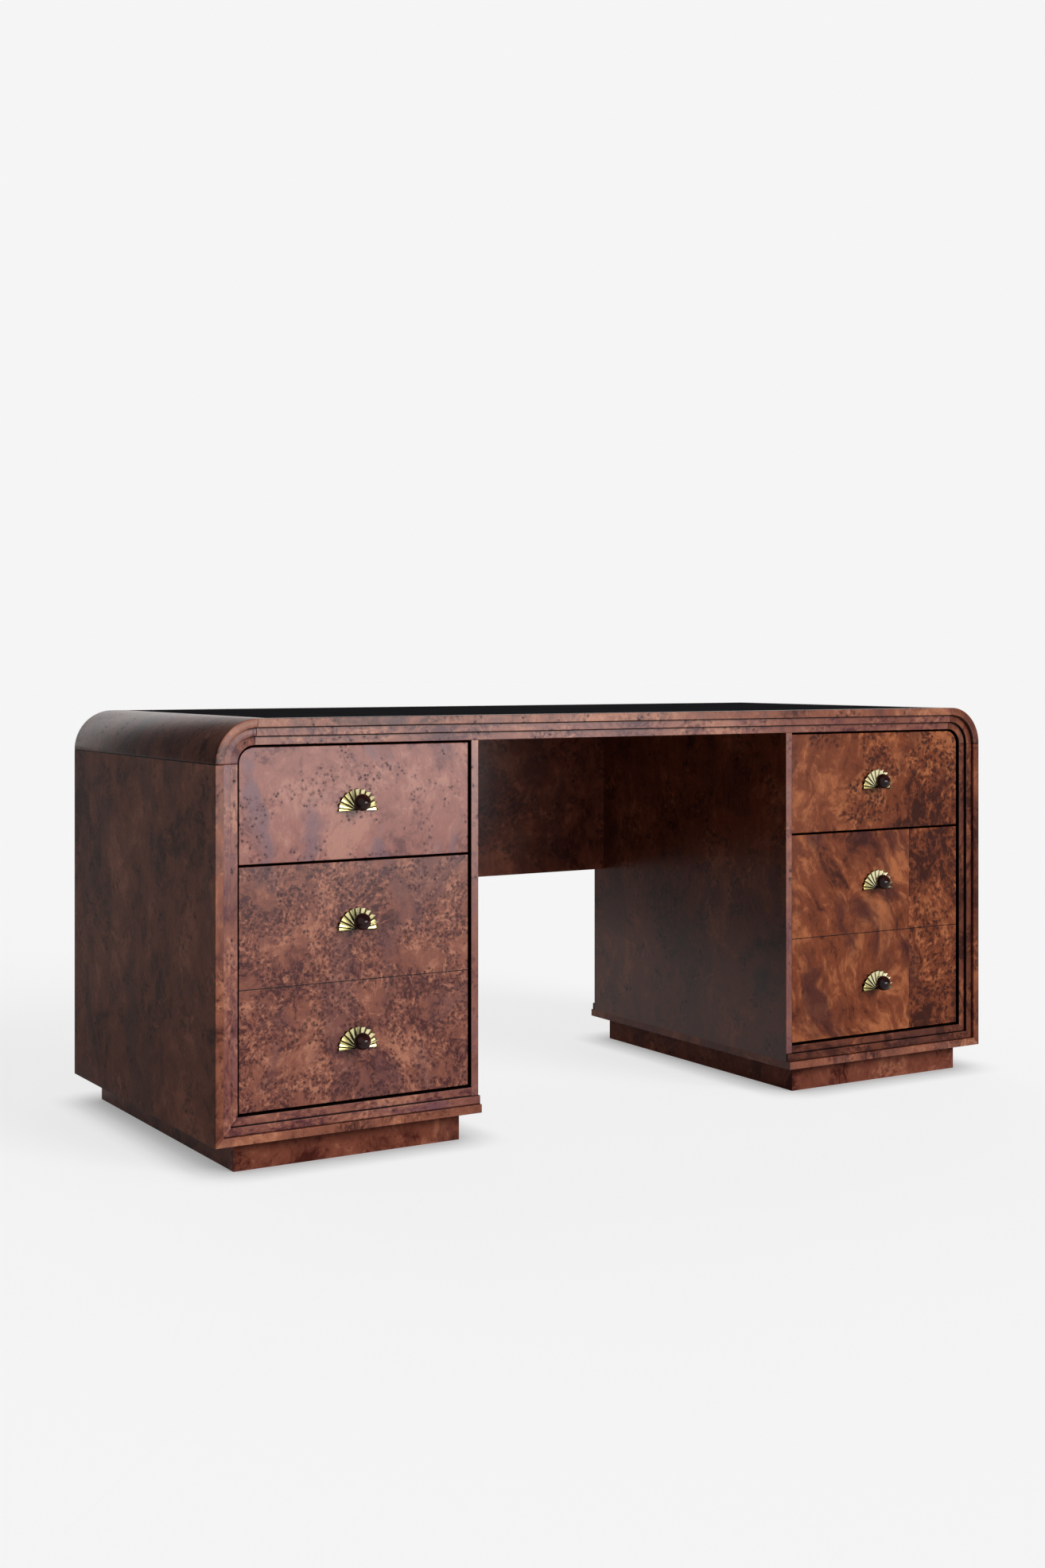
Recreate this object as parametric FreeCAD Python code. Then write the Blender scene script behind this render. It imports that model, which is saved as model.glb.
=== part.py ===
# Pedestal desk: a waterfall shell with stepped frames, and four drawers on telescopic runners.
# Millimetres. The drawers face -Y, +X is to the right of someone facing them, and +Z is up.
# The origin is on the floor, under the middle of the whole desk, knobs included.
import FreeCAD
import Part

import math
import os

Vector = FreeCAD.Vector

# Case
case_width = 1727.0
case_depth = 711.0
case_height = 762.0
kneehole_width = 706.0
plinth_height = 50.0

# Outer shell and the two bands stepped back inside it
shell_thickness = 15.0
band_width = 15.0
band_step = 6.0
frame_depth = 40.0
corner_radius = 76.0
edge_round = 1.0
seam_bevel = 0.8

# Writing surface
leather_side_margin = 100.0
leather_front_margin = 20.0
leather_thickness = 2.0
leather_fit = 0.2

# Panels inside the shell
knee_panel_thickness = 15.0
back_panel_thickness = 15.0
back_panel_recess = 5.0
panel_fit = 0.2
modesty_thickness = 18.0
modesty_setback = 32.0
modesty_bottom = 390.0

# Plinths
plinth_side_inset = 45.0
plinth_front_inset = 30.0
plinth_knee_inset = 30.0
plinth_board = 18.0
plinth_block_leg = 34.0
plinth_block_drop = 6.0

# Drawers
drawer_gap = 4.0
drawer_recess = 5.0
drawer_front_thickness = 20.0
top_drawer_height = 197.0
score_width = 1.6
score_depth = 0.8
box_board = 12.0
box_lift = 18.0
box_back_room = 42.0
top_box_headroom = 29.0
deep_box_headroom = 65.0
bottom_thickness = 6.0
bottom_lift = 12.0
groove_depth = 6.0
groove_fit = 0.2

# Runners
runner_thickness = 12.7
runner_height = 45.0
runner_setback = 45.0
runner_tail = 42.0
runner_lift = 75.0
runner_sheet = 1.2
runner_play = 0.3
runner_lip = 3.2
drawer_member_height = 27.0
batten_height = 60.0

# Knobs and their plates
ball_radius = 15.0
ball_standoff = 20.0
neck_radius = 5.0
fan_radius = 39.0
fan_valley_radius = 36.0
fan_pleats = 10
fan_rim_height = 8.0
fan_root_height = 1.4
fan_hole_play = 0.2
screw_radius = 2.0
screw_play = 0.1
screw_reach = 14.0
screw_head_radius = 4.0
screw_head_height = 2.4

# Places worked out from the sizes above. Depths are measured back from the case's front plane.
half_width = case_width / 2
half_knee = kneehole_width / 2
frame_width = shell_thickness + 2 * band_width
inner_plane = 2 * band_step
opening_outer = half_width - frame_width
opening_inner = half_knee + knee_panel_thickness
opening_bottom = plinth_height + frame_width
opening_top = case_height - frame_width
opening_radius = corner_radius - frame_width
top_core_top = case_height - shell_thickness
seam_height = case_height - corner_radius
seam_x = half_width - corner_radius
drawer_face = inner_plane + drawer_recess
box_start = drawer_face + drawer_front_thickness
back_panel_end = case_depth - inner_plane - back_panel_recess
back_panel_start = back_panel_end - back_panel_thickness
box_end = back_panel_start - box_back_room
runner_span = (runner_setback, box_end - runner_tail)
knob_projection = ball_standoff + ball_radius - drawer_face
front_y = (knob_projection - case_depth) / 2


def depth(distance):
    """Y of a plane that lies this far behind the case's front plane."""
    return front_y + distance


def block(x_span, depth_span, z_span):
    """Rectangular solid between two x, two depths and two heights."""
    corner = Vector(x_span[0], depth(depth_span[0]), z_span[0])
    sizes = [span[1] - span[0] for span in (x_span, depth_span, z_span)]
    return Part.makeBox(sizes[0], sizes[1], sizes[2], corner)


def rounded_face(corners, place):
    """Flat face with straight sides. A corner is (u, v, radius), and place turns u, v into a point."""
    starts = []
    middles = []
    ends = []
    for index, (u, v, radius) in enumerate(corners):
        before = corners[index - 1]
        after = corners[(index + 1) % len(corners)]
        to_before = Vector(before[0] - u, before[1] - v, 0).normalize()
        to_after = Vector(after[0] - u, after[1] - v, 0).normalize()
        half_angle = to_before.getAngle(to_after) / 2
        bisector = (to_before + to_after).normalize()
        point = Vector(u, v, 0)
        starts.append(point + to_before * (radius / math.tan(half_angle)))
        ends.append(point + to_after * (radius / math.tan(half_angle)))
        middles.append(point + bisector * (radius / math.sin(half_angle) - radius))
    edges = []
    for index, (u, v, radius) in enumerate(corners):
        start, middle, end = [place(p.x, p.y) for p in (starts[index], middles[index], ends[index])]
        if radius > 0:
            edges.append(Part.Arc(start, middle, end).toShape())
        following = starts[(index + 1) % len(corners)]
        edges.append(Part.makeLine(end, place(following.x, following.y)))
    return Part.Face(Part.Wire(edges))


def cylinder(radius, start_depth, end_depth, x, z):
    """Round solid along Y between two depths."""
    start = Vector(x, depth(start_depth), z)
    return Part.makeCylinder(radius, end_depth - start_depth, start, Vector(0, 1, 0))


def mirrored(shape):
    """The same piece on the other pedestal."""
    return shape.mirror(Vector(0, 0, 0), Vector(1, 0, 0))


def turned_to_back(shape):
    """The same piece on the back of the case."""
    return shape.mirror(Vector(0, depth(case_depth / 2), 0), Vector(0, 1, 0))


# The shell and the frames are sections in (u, v): u runs inwards from the outside of the case,
# and v runs back from its front. Each section is carried up the side, round the corner and
# along the top and foot.
def shell_section():
    return [
        (0, 0, edge_round),
        (shell_thickness, 0, edge_round),
        (shell_thickness, case_depth, edge_round),
        (0, case_depth, edge_round),
    ]


def frame_section():
    middle_edge = shell_thickness + band_width
    return [
        (shell_thickness, band_step, 0),
        (middle_edge, band_step, edge_round),
        (middle_edge, inner_plane, 0),
        (frame_width, inner_plane, edge_round),
        (frame_width, frame_depth, 0),
        (shell_thickness, frame_depth, 0),
    ]


def up_the_side(section, bottom, top):
    face = rounded_face(section, lambda u, v: Vector(u - half_width, depth(v), bottom))
    return face.extrude(Vector(0, 0, top - bottom))


def round_the_corner(section):
    face = rounded_face(section, lambda u, v: Vector(u - half_width, depth(v), seam_height))
    return face.revolve(Vector(-seam_x, 0, seam_height), Vector(0, 1, 0), 90)


def along_the_top(section):
    face = rounded_face(section, lambda u, v: Vector(-seam_x, depth(v), case_height - u))
    return face.extrude(Vector(2 * seam_x, 0, 0))


def along_the_foot(section):
    face = rounded_face(section, lambda u, v: Vector(-half_width, depth(v), plinth_height + u))
    return face.extrude(Vector(half_width - half_knee, 0, 0))


def mitre_wedge(keeps_upright):
    """Wedge that cuts the bottom outer corner along its mitre, off the foot or off the upright."""
    leg = 2 * frame_width
    corner = Vector(-half_width, depth(-band_step), plinth_height)
    across = Vector(leg, 0, 0) if keeps_upright else Vector(0, 0, leg)
    points = [corner, corner + across, corner + Vector(leg, 0, leg), corner]
    return Part.Face(Part.makePolygon(points)).extrude(Vector(0, case_depth + 2 * band_step, 0))


def v_groove(start, run, inward, across):
    """Small V cut along a seam: run is the seam's length and direction on the surface."""
    deep = inward * seam_bevel
    wide = across * seam_bevel
    points = [start - wide, start + deep, start + wide, start - wide]
    return Part.Face(Part.makePolygon(points)).extrude(run)


def seam_grooves(seam, inwards, across):
    """V cuts where a corner meets its neighbour: along the outer face and across each band's edge."""
    bands = [
        (0, 0, shell_thickness),
        (band_step, shell_thickness, band_width),
        (inner_plane, shell_thickness + band_width, band_width),
    ]
    front = Vector(seam.x, depth(0), seam.z)
    grooves = [v_groove(front, Vector(0, case_depth, 0), inwards, across)]
    for setback, offset, width in bands:
        for plane, into in ((setback, 1), (case_depth - setback, -1)):
            start = Vector(seam.x, depth(plane), seam.z) + inwards * offset
            grooves.append(v_groove(start, inwards * width, Vector(0, into, 0), across))
    return Part.makeCompound(grooves)


def side_seam():
    return seam_grooves(Vector(-half_width, 0, seam_height), Vector(1, 0, 0), Vector(0, 0, 1))


def top_seam():
    return seam_grooves(Vector(-seam_x, 0, case_height), Vector(0, 0, -1), Vector(1, 0, 0))


def shell_pieces():
    """Side, corner, floor and top panels: one 15 mm skin whose edges show as the outer band."""
    side = up_the_side(shell_section(), plinth_height, seam_height)
    side = side.cut(mitre_wedge(True)).cut(side_seam())
    corner = round_the_corner(shell_section()).cut(side_seam()).cut(top_seam())
    top = along_the_top(shell_section()).cut(top_seam()).cut(mirrored(top_seam()))
    floor = along_the_foot(shell_section()).cut(mitre_wedge(False))
    leather_x = half_width - leather_side_margin
    leather_depth = (leather_front_margin, case_depth - leather_front_margin)
    leather_z = (case_height - leather_thickness, case_height)
    bed = block((-leather_x, leather_x), leather_depth, leather_z)
    leather = block(
        (leather_fit - leather_x, leather_x - leather_fit),
        (leather_depth[0] + leather_fit, leather_depth[1] - leather_fit),
        leather_z,
    )
    nodes["top_panel"] = [top.cut(bed)]
    nodes["leather_inset"] = [leather]
    nodes["left_corner_shell"] = [corner]
    nodes["right_corner_shell"] = [mirrored(corner)]
    nodes["left_side_panel"] = [side]
    nodes["right_side_panel"] = [mirrored(side)]
    nodes["floor_panels"] = [floor, mirrored(floor)]


def frame_pieces():
    """Stepped frames on the front and the back, in lengths that meet at the corner's two seams."""
    rail = along_the_top(frame_section()).cut(top_seam()).cut(mirrored(top_seam()))
    corner = round_the_corner(frame_section()).cut(side_seam()).cut(top_seam())
    stile = up_the_side(frame_section(), plinth_height, seam_height)
    stile = stile.cut(mitre_wedge(True)).cut(side_seam())
    foot = along_the_foot(frame_section()).cut(mitre_wedge(False))
    knee_notch = block(
        (-opening_inner, -half_knee),
        (inner_plane, frame_depth),
        (plinth_height + shell_thickness, opening_bottom),
    )
    foot = foot.cut(knee_notch)
    nodes["front_top_rail"] = [rail]
    nodes["front_left_corner"] = [corner]
    nodes["front_right_corner"] = [mirrored(corner)]
    nodes["front_left_stile"] = [stile]
    nodes["front_right_stile"] = [mirrored(stile)]
    nodes["front_left_foot_rail"] = [foot]
    nodes["front_right_foot_rail"] = [mirrored(foot)]
    back = {"back_corners": corner, "back_stiles": stile, "back_foot_rails": foot}
    nodes["back_top_rail"] = [turned_to_back(rail)]
    for name, piece in back.items():
        nodes[name] = [turned_to_back(piece), mirrored(turned_to_back(piece))]


def inner_panels():
    """Core board, knee panels, back panels and modesty panel."""
    core_depth = (frame_depth, case_depth - frame_depth)
    nodes["top_core"] = [block((-seam_x, seam_x), core_depth, (opening_top, top_core_top))]

    knee_section = [
        (-opening_inner, inner_plane, edge_round),
        (-half_knee, inner_plane, edge_round),
        (-half_knee, case_depth - inner_plane, edge_round),
        (-opening_inner, case_depth - inner_plane, edge_round),
    ]
    knee_bottom = plinth_height + shell_thickness
    knee_face = rounded_face(knee_section, lambda x, v: Vector(x, depth(v), knee_bottom))
    knee = knee_face.extrude(Vector(0, 0, opening_top - knee_bottom))
    nodes["left_knee_panel"] = [knee]
    nodes["right_knee_panel"] = [mirrored(knee)]

    back_outline = [
        (panel_fit - opening_outer, opening_bottom + panel_fit, 0),
        (-opening_inner - panel_fit, opening_bottom + panel_fit, 0),
        (-opening_inner - panel_fit, opening_top - panel_fit, 0),
        (panel_fit - opening_outer, opening_top - panel_fit, opening_radius - panel_fit),
    ]
    back = rounded_face(back_outline, lambda x, z: Vector(x, depth(back_panel_start), z))
    back = back.extrude(Vector(0, back_panel_thickness, 0))
    nodes["back_panels"] = [back, mirrored(back)]

    modesty_back = case_depth - modesty_setback
    modesty_section = [
        (modesty_back - modesty_thickness, modesty_bottom, edge_round),
        (modesty_back, modesty_bottom, edge_round),
        (modesty_back, opening_top, 0),
        (modesty_back - modesty_thickness, opening_top, 0),
    ]
    modesty = rounded_face(modesty_section, lambda v, z: Vector(-half_knee, depth(v), z))
    nodes["modesty_panel"] = [modesty.extrude(Vector(kneehole_width, 0, 0))]


def plinth_pieces():
    """Four mitred boards under each pedestal, with a glue block in each corner."""
    x_outer = -(half_width - plinth_side_inset)
    x_knee = -(half_knee + plinth_knee_inset)
    y_front = depth(plinth_front_inset)
    y_back = depth(case_depth - plinth_front_inset)
    outer = [(x_outer, y_front), (x_knee, y_front), (x_knee, y_back), (x_outer, y_back)]
    turns = [(1, 1), (-1, 1), (-1, -1), (1, -1)]
    boards = []
    blocks = []
    for index, (x, y) in enumerate(outer):
        following = (index + 1) % len(outer)
        next_x, next_y = outer[following]
        turn_x, turn_y = turns[index]
        next_turn_x, next_turn_y = turns[following]
        points = [
            Vector(x, y, 0),
            Vector(next_x, next_y, 0),
            Vector(next_x + next_turn_x * plinth_board, next_y + next_turn_y * plinth_board, 0),
            Vector(x + turn_x * plinth_board, y + turn_y * plinth_board, 0),
            Vector(x, y, 0),
        ]
        board = Part.Face(Part.makePolygon(points)).extrude(Vector(0, 0, plinth_height))
        boards.append(board)
        inside = Vector(x + turn_x * plinth_board, y + turn_y * plinth_board, plinth_block_drop)
        along_x = inside + Vector(turn_x * plinth_block_leg, 0, 0)
        along_y = inside + Vector(0, turn_y * plinth_block_leg, 0)
        triangle = Part.Face(Part.makePolygon([inside, along_x, along_y, inside]))
        blocks.append(triangle.extrude(Vector(0, 0, plinth_height - plinth_block_drop)))
    nodes["left_plinth"] = boards
    nodes["right_plinth"] = [mirrored(board) for board in boards]
    nodes["plinth_blocks"] = blocks + [mirrored(piece) for piece in blocks]


def fan_plate(x, base_z):
    """Half-round plate folded into pleats that all run out of the middle of its straight edge."""
    face_y = depth(drawer_face)
    root = Vector(x, face_y - fan_root_height, base_z)
    root_back = Vector(x, face_y, base_z)
    rim = []
    rim_back = []
    for fold in range(2 * fan_pleats + 1):
        angle = math.pi * fold / (2 * fan_pleats)
        is_ridge = fold % 2 == 0
        radius = fan_radius if is_ridge else fan_valley_radius
        height = fan_rim_height if is_ridge else fan_root_height
        rim_x = x + radius * math.cos(angle)
        rim_z = base_z + radius * math.sin(angle)
        rim.append(Vector(rim_x, face_y - height, rim_z))
        rim_back.append(Vector(rim_x, face_y, rim_z))
    outlines = []
    for fold in range(2 * fan_pleats):
        outlines.append([root, rim[fold], rim[fold + 1]])
        outlines.append([rim[fold], rim_back[fold], rim_back[fold + 1], rim[fold + 1]])
    outlines.append([root, root_back, rim_back[0], rim[0]])
    outlines.append([root, rim[-1], rim_back[-1], root_back])
    outlines.append(rim_back)
    faces = [Part.Face(Part.makePolygon(points + points[:1])) for points in outlines]
    plate = Part.makeSolid(Part.makeShell(faces))
    if plate.Volume < 0:
        plate.reverse()
    hole_z = base_z + ball_radius
    neck_hole = cylinder(neck_radius + fan_hole_play, drawer_face - ball_standoff, box_start, x, hole_z)
    return plate.cut(neck_hole)


def ball_knob(x, z):
    """Ball on a short neck, tapped from behind for its screw."""
    ball = Part.makeSphere(ball_radius, Vector(x, depth(drawer_face - ball_standoff), z))
    neck = cylinder(neck_radius, drawer_face - ball_standoff, drawer_face, x, z)
    tapped = cylinder(screw_radius + screw_play, drawer_face - screw_reach, drawer_face, x, z)
    return ball.fuse(neck).removeSplitter().cut(tapped)


def knob_screw(x, z):
    """Pan-head screw from inside the drawer, through both boards into the knob."""
    head_seat = box_start + box_board
    shank = cylinder(screw_radius, drawer_face - screw_reach, head_seat, x, z)
    head = cylinder(screw_head_radius, head_seat, head_seat + screw_head_height, x, z)
    edge = [e for e in head.Edges if abs(e.CenterOfMass.y - depth(head_seat + screw_head_height)) < 0.01]
    head = head.makeFillet(screw_head_height / 2, edge)
    return shank.fuse(head).removeSplitter()


def screw_holes(knob_places):
    """Clearance holes for the knob screws, through the drawer front and the box's inner front."""
    return [cylinder(screw_radius + screw_play, 0, box_start + 2 * box_board, x, z) for x, z in knob_places]


def drawer_front(x_span, z_span, top_radius, score_height, knob_places):
    """Veneered front, rounded under the frame's curved corner, with a scored line if it is deep."""
    outline = [
        (x_span[0], z_span[0], 0),
        (x_span[1], z_span[0], 0),
        (x_span[1], z_span[1], 0),
        (x_span[0], z_span[1], top_radius),
    ]
    face = rounded_face(outline, lambda x, z: Vector(x, depth(drawer_face), z))
    front = face.extrude(Vector(0, drawer_front_thickness, 0))
    front_edges = [e for e in front.Edges if e.BoundBox.YMax < depth(drawer_face) + edge_round / 2]
    front = front.makeFillet(edge_round, front_edges)
    if score_height:
        score_span = (score_height - score_width / 2, score_height + score_width / 2)
        front = front.cut(block(x_span, (drawer_face, drawer_face + score_depth), score_span))
    for hole in screw_holes(knob_places):
        front = front.cut(hole)
    return front


def drawer_box(x_span, z_span, knob_places):
    """Four boards, grooved inside for the bottom, and the bottom itself."""
    groove_span = (z_span[0] + bottom_lift, z_span[0] + bottom_lift + bottom_thickness)
    inner_x = (x_span[0] + box_board, x_span[1] - box_board)
    inner_depth = (box_start + box_board, box_end - box_board)
    groove_x = (inner_x[0] - groove_depth, inner_x[1] + groove_depth)
    groove_y = (inner_depth[0] - groove_depth, inner_depth[1] + groove_depth)
    groove = block(groove_x, groove_y, groove_span)
    boards = [
        block((x_span[0], inner_x[0]), (box_start, box_end), z_span).cut(groove),
        block((inner_x[1], x_span[1]), (box_start, box_end), z_span).cut(groove),
        block(inner_x, (box_start, inner_depth[0]), z_span).cut(groove),
        block(inner_x, (inner_depth[1], box_end), z_span).cut(groove),
    ]
    for hole in screw_holes(knob_places):
        boards[2] = boards[2].cut(hole)
    bottom = block(
        (groove_x[0] + groove_fit, groove_x[1] - groove_fit),
        (groove_y[0] + groove_fit, groove_y[1] - groove_fit),
        groove_span,
    )
    return boards, bottom


def rolled_section(points, wall_x, towards, z):
    """Rolled strip along Y. Its section is given above the middle line, and is the same below it."""
    below = [(x, -height) for x, height in reversed(points)]
    outline = [Vector(wall_x + towards * x, depth(runner_span[0]), z + up) for x, up in points + below]
    face = Part.Face(Part.makePolygon(outline + outline[:1]))
    return face.extrude(Vector(0, runner_span[1] - runner_span[0], 0))


def runner_set(wall_x, towards, z):
    """Cabinet, middle and drawer members of one runner, each held behind the next one's lips."""
    sheet = runner_sheet
    gap = runner_play
    member_half = drawer_member_height / 2
    cabinet_half = runner_height / 2
    middle_half = cabinet_half - sheet - gap
    lip_reach = middle_half - sheet - gap
    cabinet_mouth = runner_thickness - sheet - gap
    middle_web = sheet + gap
    middle_mouth = cabinet_mouth - sheet - gap
    member_web = middle_mouth - 2 * sheet - gap
    cabinet = [
        (sheet, cabinet_half - sheet),
        (cabinet_mouth - sheet, cabinet_half - sheet),
        (cabinet_mouth - sheet, cabinet_half - sheet - runner_lip),
        (cabinet_mouth, cabinet_half - sheet - runner_lip),
        (cabinet_mouth, cabinet_half),
        (0, cabinet_half),
    ]
    middle = [
        (middle_web + sheet, middle_half - sheet),
        (middle_mouth - sheet, middle_half - sheet),
        (middle_mouth - sheet, middle_half - sheet - runner_lip),
        (middle_mouth, middle_half - sheet - runner_lip),
        (middle_mouth, middle_half),
        (middle_web, middle_half),
    ]
    drawer = [
        (runner_thickness - sheet, member_half - sheet),
        (member_web, member_half - sheet),
        (member_web, lip_reach),
        (member_web + sheet, lip_reach),
        (member_web + sheet, member_half),
        (runner_thickness, member_half),
    ]
    return [rolled_section(points, wall_x, towards, z) for points in (cabinet, middle, drawer)]


def drawer_pieces():
    """Each drawer is built on the left and mirrored to the right."""
    front_x = (drawer_gap - opening_outer, -opening_inner - drawer_gap)
    box_x = (runner_thickness - opening_outer, -opening_inner - runner_thickness)
    knob_x = (front_x[0] + front_x[1]) / 2
    top_z = (opening_top - drawer_gap - top_drawer_height, opening_top - drawer_gap)
    deep_z = (opening_bottom + drawer_gap, top_z[0] - drawer_gap)
    deep_quarter = (deep_z[1] - deep_z[0]) / 4
    deep_middle = (deep_z[0] + deep_z[1]) / 2
    top_knobs = [(top_z[0] + top_z[1]) / 2]
    deep_knobs = [deep_middle - deep_quarter, deep_middle + deep_quarter]
    drawers = {
        "top": (top_z, top_box_headroom, opening_radius - drawer_gap, None, top_knobs),
        "deep": (deep_z, deep_box_headroom, 0, deep_middle, deep_knobs),
    }
    cabinet_members = []
    battens = []
    for name, (front_z, headroom, top_radius, score_height, knob_heights) in drawers.items():
        knob_places = [(knob_x, z) for z in knob_heights]
        box_z = (front_z[0] + box_lift, front_z[1] - headroom)
        runner_z = box_z[0] + runner_lift
        boards, bottom = drawer_box(box_x, box_z, knob_places)
        outer_runner = runner_set(-opening_outer, 1, runner_z)
        knee_runner = runner_set(-opening_inner, -1, runner_z)
        cabinet_members += [outer_runner[0], knee_runner[0]]
        batten_x = (shell_thickness - half_width, -opening_outer)
        batten_z = (runner_z - batten_height / 2, runner_z + batten_height / 2)
        battens.append(block(batten_x, runner_span, batten_z))
        many = "s" if len(knob_places) > 1 else ""
        pieces = {
            f"{name}_drawer_front": [drawer_front(front_x, front_z, top_radius, score_height, knob_places)],
            f"{name}_drawer_box": boards,
            f"{name}_drawer_bottom": [bottom],
            f"{name}_fan_plate{many}": [fan_plate(x, z - ball_radius) for x, z in knob_places],
            f"{name}_knob{many}": [ball_knob(x, z) for x, z in knob_places],
            f"{name}_knob_screw{many}": [knob_screw(x, z) for x, z in knob_places],
            f"{name}_runner_middle_members": [outer_runner[1], knee_runner[1]],
            f"{name}_runner_drawer_members": [outer_runner[2], knee_runner[2]],
        }
        for piece_name, solids in pieces.items():
            nodes["left_" + piece_name] = solids
            nodes["right_" + piece_name] = [mirrored(solid) for solid in solids]
    nodes["runner_cabinet_members"] = cabinet_members + [mirrored(member) for member in cabinet_members]
    nodes["runner_battens"] = battens + [mirrored(batten) for batten in battens]


def write_nodes():
    os.makedirs("parts", exist_ok=True)
    for name, solids in nodes.items():
        for solid in solids:
            if not solid.isValid() or solid.Volume <= 0:
                print("faulty solid in", name)
        shape = solids[0] if len(solids) == 1 else Part.makeCompound(solids)
        shape.exportStep(f"parts/{name}.step")
    everything = Part.makeCompound([solid for solids in nodes.values() for solid in solids])
    box = everything.optimalBoundingBox(False)
    print(len(nodes), "nodes;", len(everything.Solids), "solids")
    print("overall size", round(box.XLength, 2), round(box.YLength, 2), round(box.ZLength, 2))


nodes = {}
shell_pieces()
frame_pieces()
inner_panels()
plinth_pieces()
drawer_pieces()
write_nodes()
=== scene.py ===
# %% [markdown]
# # A pedestal desk in stained burl veneer
# The desk is a waterfall shell on two plinths: the top runs round a curved corner into each side.
# A stepped frame closes the front and the back, and four drawers carry brass fans and dark ball knobs.
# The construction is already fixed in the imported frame, so this lesson only gives it its surfaces,
# its finely rounded pieces, its light and its camera.

# %% Load the frame
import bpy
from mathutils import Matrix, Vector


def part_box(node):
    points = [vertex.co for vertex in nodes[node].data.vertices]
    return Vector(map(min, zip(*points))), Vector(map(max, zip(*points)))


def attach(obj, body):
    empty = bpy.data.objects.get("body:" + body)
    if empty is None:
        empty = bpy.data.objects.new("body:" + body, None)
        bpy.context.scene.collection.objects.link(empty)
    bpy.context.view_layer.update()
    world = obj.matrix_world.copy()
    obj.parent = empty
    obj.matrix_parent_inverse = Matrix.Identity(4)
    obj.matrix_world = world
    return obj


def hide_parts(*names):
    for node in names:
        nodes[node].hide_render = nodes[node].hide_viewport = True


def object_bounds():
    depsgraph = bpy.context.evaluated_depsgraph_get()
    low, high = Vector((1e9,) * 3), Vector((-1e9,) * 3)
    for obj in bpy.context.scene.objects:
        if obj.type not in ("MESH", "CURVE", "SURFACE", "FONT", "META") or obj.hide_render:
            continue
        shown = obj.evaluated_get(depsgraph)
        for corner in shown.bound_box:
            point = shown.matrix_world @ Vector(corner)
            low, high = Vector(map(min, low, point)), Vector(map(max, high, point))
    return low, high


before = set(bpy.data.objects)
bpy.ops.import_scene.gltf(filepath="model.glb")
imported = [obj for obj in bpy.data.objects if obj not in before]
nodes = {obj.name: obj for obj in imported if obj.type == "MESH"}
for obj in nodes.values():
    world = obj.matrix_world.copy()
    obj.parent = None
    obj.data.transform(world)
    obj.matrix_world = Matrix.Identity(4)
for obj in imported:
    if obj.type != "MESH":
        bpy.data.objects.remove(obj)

cad_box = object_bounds()

# %% [markdown]
# ## The camera
# The photograph was taken with upright lines kept upright, so the camera is level and the picture is
# moved up by lens shift instead of by tilting. Its place was worked out from the desk's corners.
# Tilting the camera would be quicker to set up, but the pedestals would lean towards each other.

# %% Camera
import math

import bpy
from mathutils import Vector

CAMERA_PLACE = (-2.1264, -3.3797, 0.8514)
CAMERA_TURN = math.radians(-31.5)
PICTURE_HEIGHT = 1972
FOCAL_PIXELS = 2467.45
HORIZON_ABOVE_MIDDLE = 149.5
SENSOR = 36.0
FAR_CLIP = 300
quarter = math.pi / 2

camera_data = bpy.data.cameras.new("camera")
camera_data.sensor_width = SENSOR
camera_data.lens = SENSOR * FOCAL_PIXELS / PICTURE_HEIGHT
camera_data.shift_y = -HORIZON_ABOVE_MIDDLE / PICTURE_HEIGHT
camera_data.clip_end = FAR_CLIP
camera = bpy.data.objects.new("camera", camera_data)
camera.location = CAMERA_PLACE
camera.rotation_euler = (quarter, 0, CAMERA_TURN)
bpy.context.scene.collection.objects.link(camera)
bpy.context.scene.camera = camera
print("camera: lens", round(camera_data.lens, 2), "mm, shift", round(camera_data.shift_y, 4))

# %% [markdown]
# ## Small tools for shader nodes
# A finish is a network of nodes. Writing each link out takes three lines, so a few helpers place a
# node and fill its inputs in one line: a number is set on the socket, and another node's output is
# linked to it. Everything that follows is built with them.

# %% Node helpers


def place(tree, kind, values=None, **settings):
    """Adds a node with these settings. Each value is set on its input, or linked if it is an output."""
    node = tree.nodes.new(kind)
    for name, setting in settings.items():
        setattr(node, name, setting)
    for key, value in (values or {}).items():
        if isinstance(value, bpy.types.NodeSocket):
            tree.links.new(value, node.inputs[key])
        else:
            node.inputs[key].default_value = value
    return node


def maths(tree, operation, *values):
    """A sum on numbers."""
    return place(tree, "ShaderNodeMath", dict(enumerate(values)), operation=operation).outputs[0]


def vector_maths(tree, operation, *values):
    """A sum on vectors."""
    return place(tree, "ShaderNodeVectorMath", dict(enumerate(values)), operation=operation).outputs[0]


def reach_along(tree, vector, axis):
    """How far a vector goes along an axis."""
    values = {0: vector, 1: axis}
    return place(tree, "ShaderNodeVectorMath", values, operation="DOT_PRODUCT").outputs["Value"]


def parts(tree, vector):
    """The X, Y and Z of a vector."""
    return place(tree, "ShaderNodeSeparateXYZ", {0: vector}).outputs


def fade(tree, value, start, end):
    """0 before start, 1 after end, and a smooth change between them."""
    values = {"Value": value, "From Min": start, "From Max": end}
    return place(tree, "ShaderNodeMapRange", values, interpolation_type="SMOOTHSTEP").outputs[0]


def mixed(tree, amount, first, second, blend_type="MIX"):
    """Colour between two colours. The mix node keeps its colour inputs at places 6 and 7."""
    values = {0: amount, 6: first, 7: second}
    return place(tree, "ShaderNodeMix", values, data_type="RGBA", blend_type=blend_type).outputs[2]


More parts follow.
